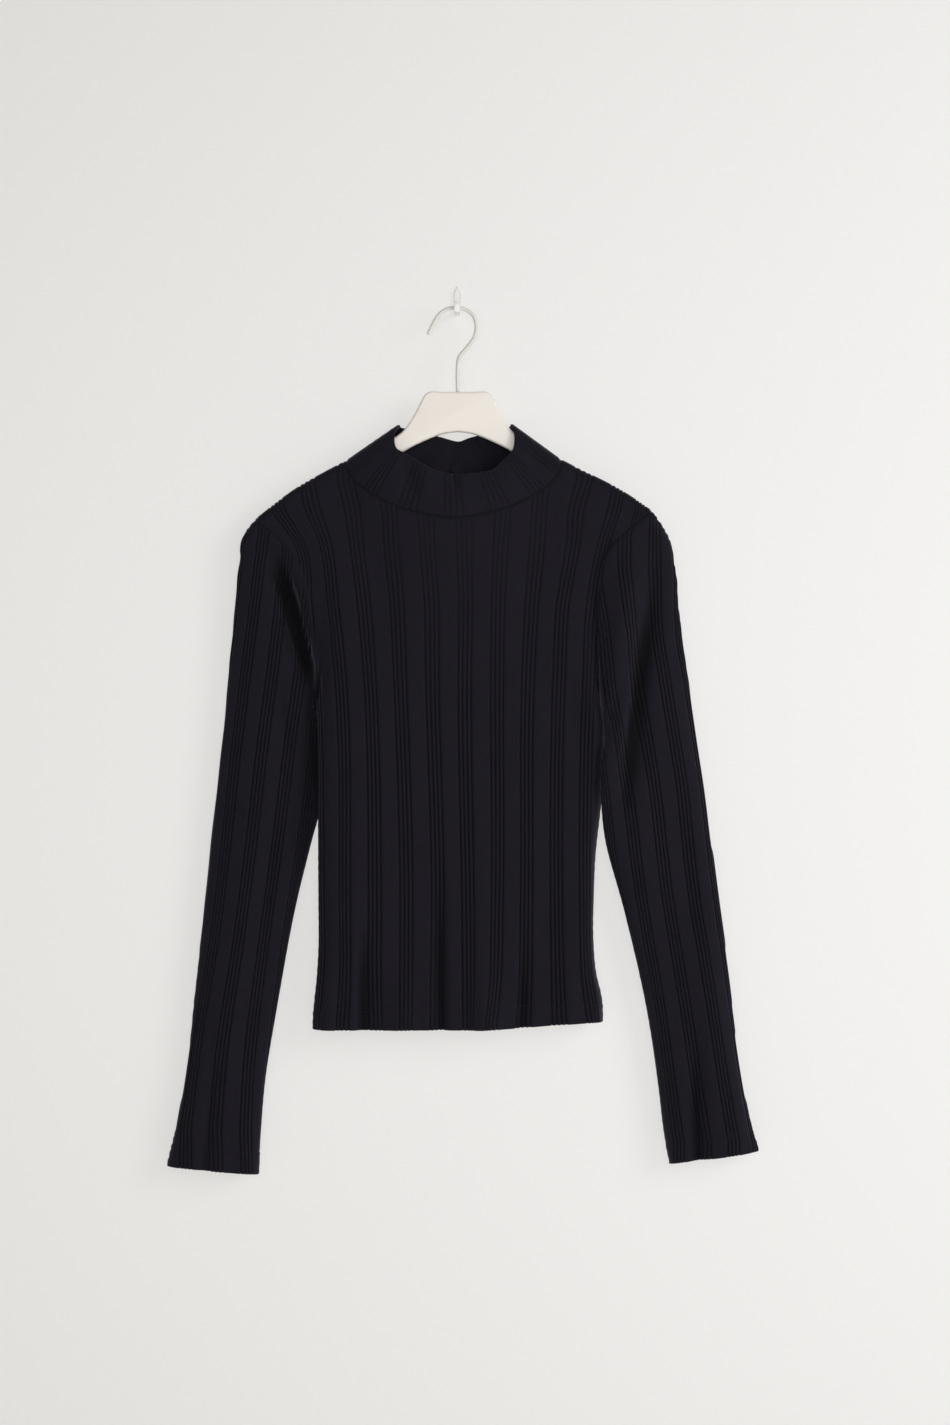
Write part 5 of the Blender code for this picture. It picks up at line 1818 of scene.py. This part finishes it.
class KNITTOP_OT_hanger(bpy.types.Operator):
    """Build the hanger's body, its wire hook and the hook on the wall"""

    bl_idname = "knit_top.hanger"
    bl_label = "Hanger and Hooks"

    def execute(self, context):
        settings = context.scene.hanger_settings
        build_hanger(settings)
        build_wire(settings)
        build_wall_hook(settings)
        return {"FINISHED"}


FLOOR_HEIGHT = -1.3
ROOM_HALF = 4.0
WALL_GAP = 0.0006
CAMERA_PLACE = (0.0167, -3.16, -0.3836)
CAMERA_LENS = 85.0
CAMERA_SENSOR = 36.0
GARMENT_MIDDLE = (0.0, -0.03, -0.4)

# Lights: place, size
KEY_LIGHT = ((2.3, -2.2, 0.5), 1.6)
FILL_LIGHT = ((0.0, -4.0, -0.1), 1.8)
BACK_LIGHT = ((-0.6, 3.0, 0.6), 2.4)


def add_light(name, place, size, power):
    """A square soft light that faces the middle of the top."""
    data = bpy.data.lights.new(name, "AREA")
    data.size = size
    data.energy = power
    light = bpy.data.objects.new(name, data)
    light.location = place
    aim = Vector(GARMENT_MIDDLE) - Vector(place)
    light.rotation_euler = aim.to_track_quat("-Z", "Y").to_euler()
    bpy.context.scene.collection.objects.link(light)


def add_plane(name, turn, place, material):
    """A wide flat part of the studio, turned and put in place in its mesh."""
    shape = bmesh.new()
    matrix = Matrix.Translation(place) @ turn
    bmesh.ops.create_grid(shape, x_segments=1, y_segments=1, size=ROOM_HALF, matrix=matrix)
    plane = add_object(name, shape, material)
    return plane


class KNITTOP_OT_studio(bpy.types.Operator):
    """Build the pale wall and floor, the soft lights and the camera"""

    bl_idname = "knit_top.studio"
    bl_label = "Studio"

    def execute(self, context):
        settings = context.scene.studio_settings
        scene = context.scene
        lit = [channel * WALL_SHARE for channel in settings.wall_colour]
        # The wall takes this share of its light from the lamps; its glow paints in the rest as
        # painted light
        paint = stage_finish("Wall paint", lit, True)
        upright = Matrix.Rotation(math.pi / 2, 4, "X")
        wall = add_plane("wall", upright, (0, WALL_GAP, FLOOR_HEIGHT + ROOM_HALF), paint)
        wall.visible_shadow = False
        floor_paint = stage_finish("Floor paint", settings.wall_colour, False)
        add_plane("floor", Matrix.Identity(4), (0, 0, FLOOR_HEIGHT), floor_paint)
        add_light("key", *KEY_LIGHT, settings.key_power)
        add_light("fill", *FILL_LIGHT, settings.fill_power)
        add_light("back", *BACK_LIGHT, settings.back_power)
        world = bpy.data.worlds.new("Room")
        world.use_nodes = True
        sky = world.node_tree.nodes["Background"]
        sky.inputs["Color"].default_value = (0.97, 0.98, 1.0, 1.0)
        sky.inputs["Strength"].default_value = settings.sky
        scene.world = world
        data = bpy.data.cameras.new("camera")
        data.lens = CAMERA_LENS
        data.sensor_width = CAMERA_SENSOR
        camera = bpy.data.objects.new("camera", data)
        camera.location = CAMERA_PLACE
        camera.rotation_euler = (math.pi / 2, 0, 0)
        scene.collection.objects.link(camera)
        scene.camera = camera
        scene.view_settings.view_transform = "Standard"
        return {"FINISHED"}


class KNITTOP_PT_panel(bpy.types.Panel):
    """Sizes, colours and build steps of the knit top"""

    bl_idname = "KNITTOP_PT_panel"
    bl_label = "Knit Top"
    bl_space_type = "VIEW_3D"
    bl_region_type = "UI"
    bl_category = "Knit Top"

    def draw(self, context):
        layout = self.layout
        groups = (
            (context.scene.knit_settings, KnitSettings),
            (context.scene.hanger_settings, HangerSettings),
            (context.scene.studio_settings, StudioSettings),
        )
        for settings, group in groups:
            box = layout.box()
            for name in group.__annotations__:
                box.prop(settings, name)
        for step in STEPS:
            layout.operator(step.bl_idname)


GROUPS = (KnitSettings, HangerSettings, StudioSettings)
STEPS = (
    KNITTOP_OT_studio, KNITTOP_OT_hanger, KNITTOP_OT_body, KNITTOP_OT_sleeves, KNITTOP_OT_collar,
)


def register():
    for kind in (*GROUPS, *STEPS, KNITTOP_PT_panel):
        bpy.utils.register_class(kind)
    bpy.types.Scene.knit_settings = PointerProperty(type=KnitSettings)
    bpy.types.Scene.hanger_settings = PointerProperty(type=HangerSettings)
    bpy.types.Scene.studio_settings = PointerProperty(type=StudioSettings)


def unregister():
    del bpy.types.Scene.studio_settings
    del bpy.types.Scene.hanger_settings
    del bpy.types.Scene.knit_settings
    for kind in (KNITTOP_PT_panel, *reversed(STEPS), *reversed(GROUPS)):
        bpy.utils.unregister_class(kind)


def main():
    register()
    bpy.ops.knit_top.studio()
    bpy.ops.knit_top.hanger()
    bpy.ops.knit_top.body()
    bpy.ops.knit_top.sleeves()
    bpy.ops.knit_top.collar()


if __name__ == "__main__":
    main()
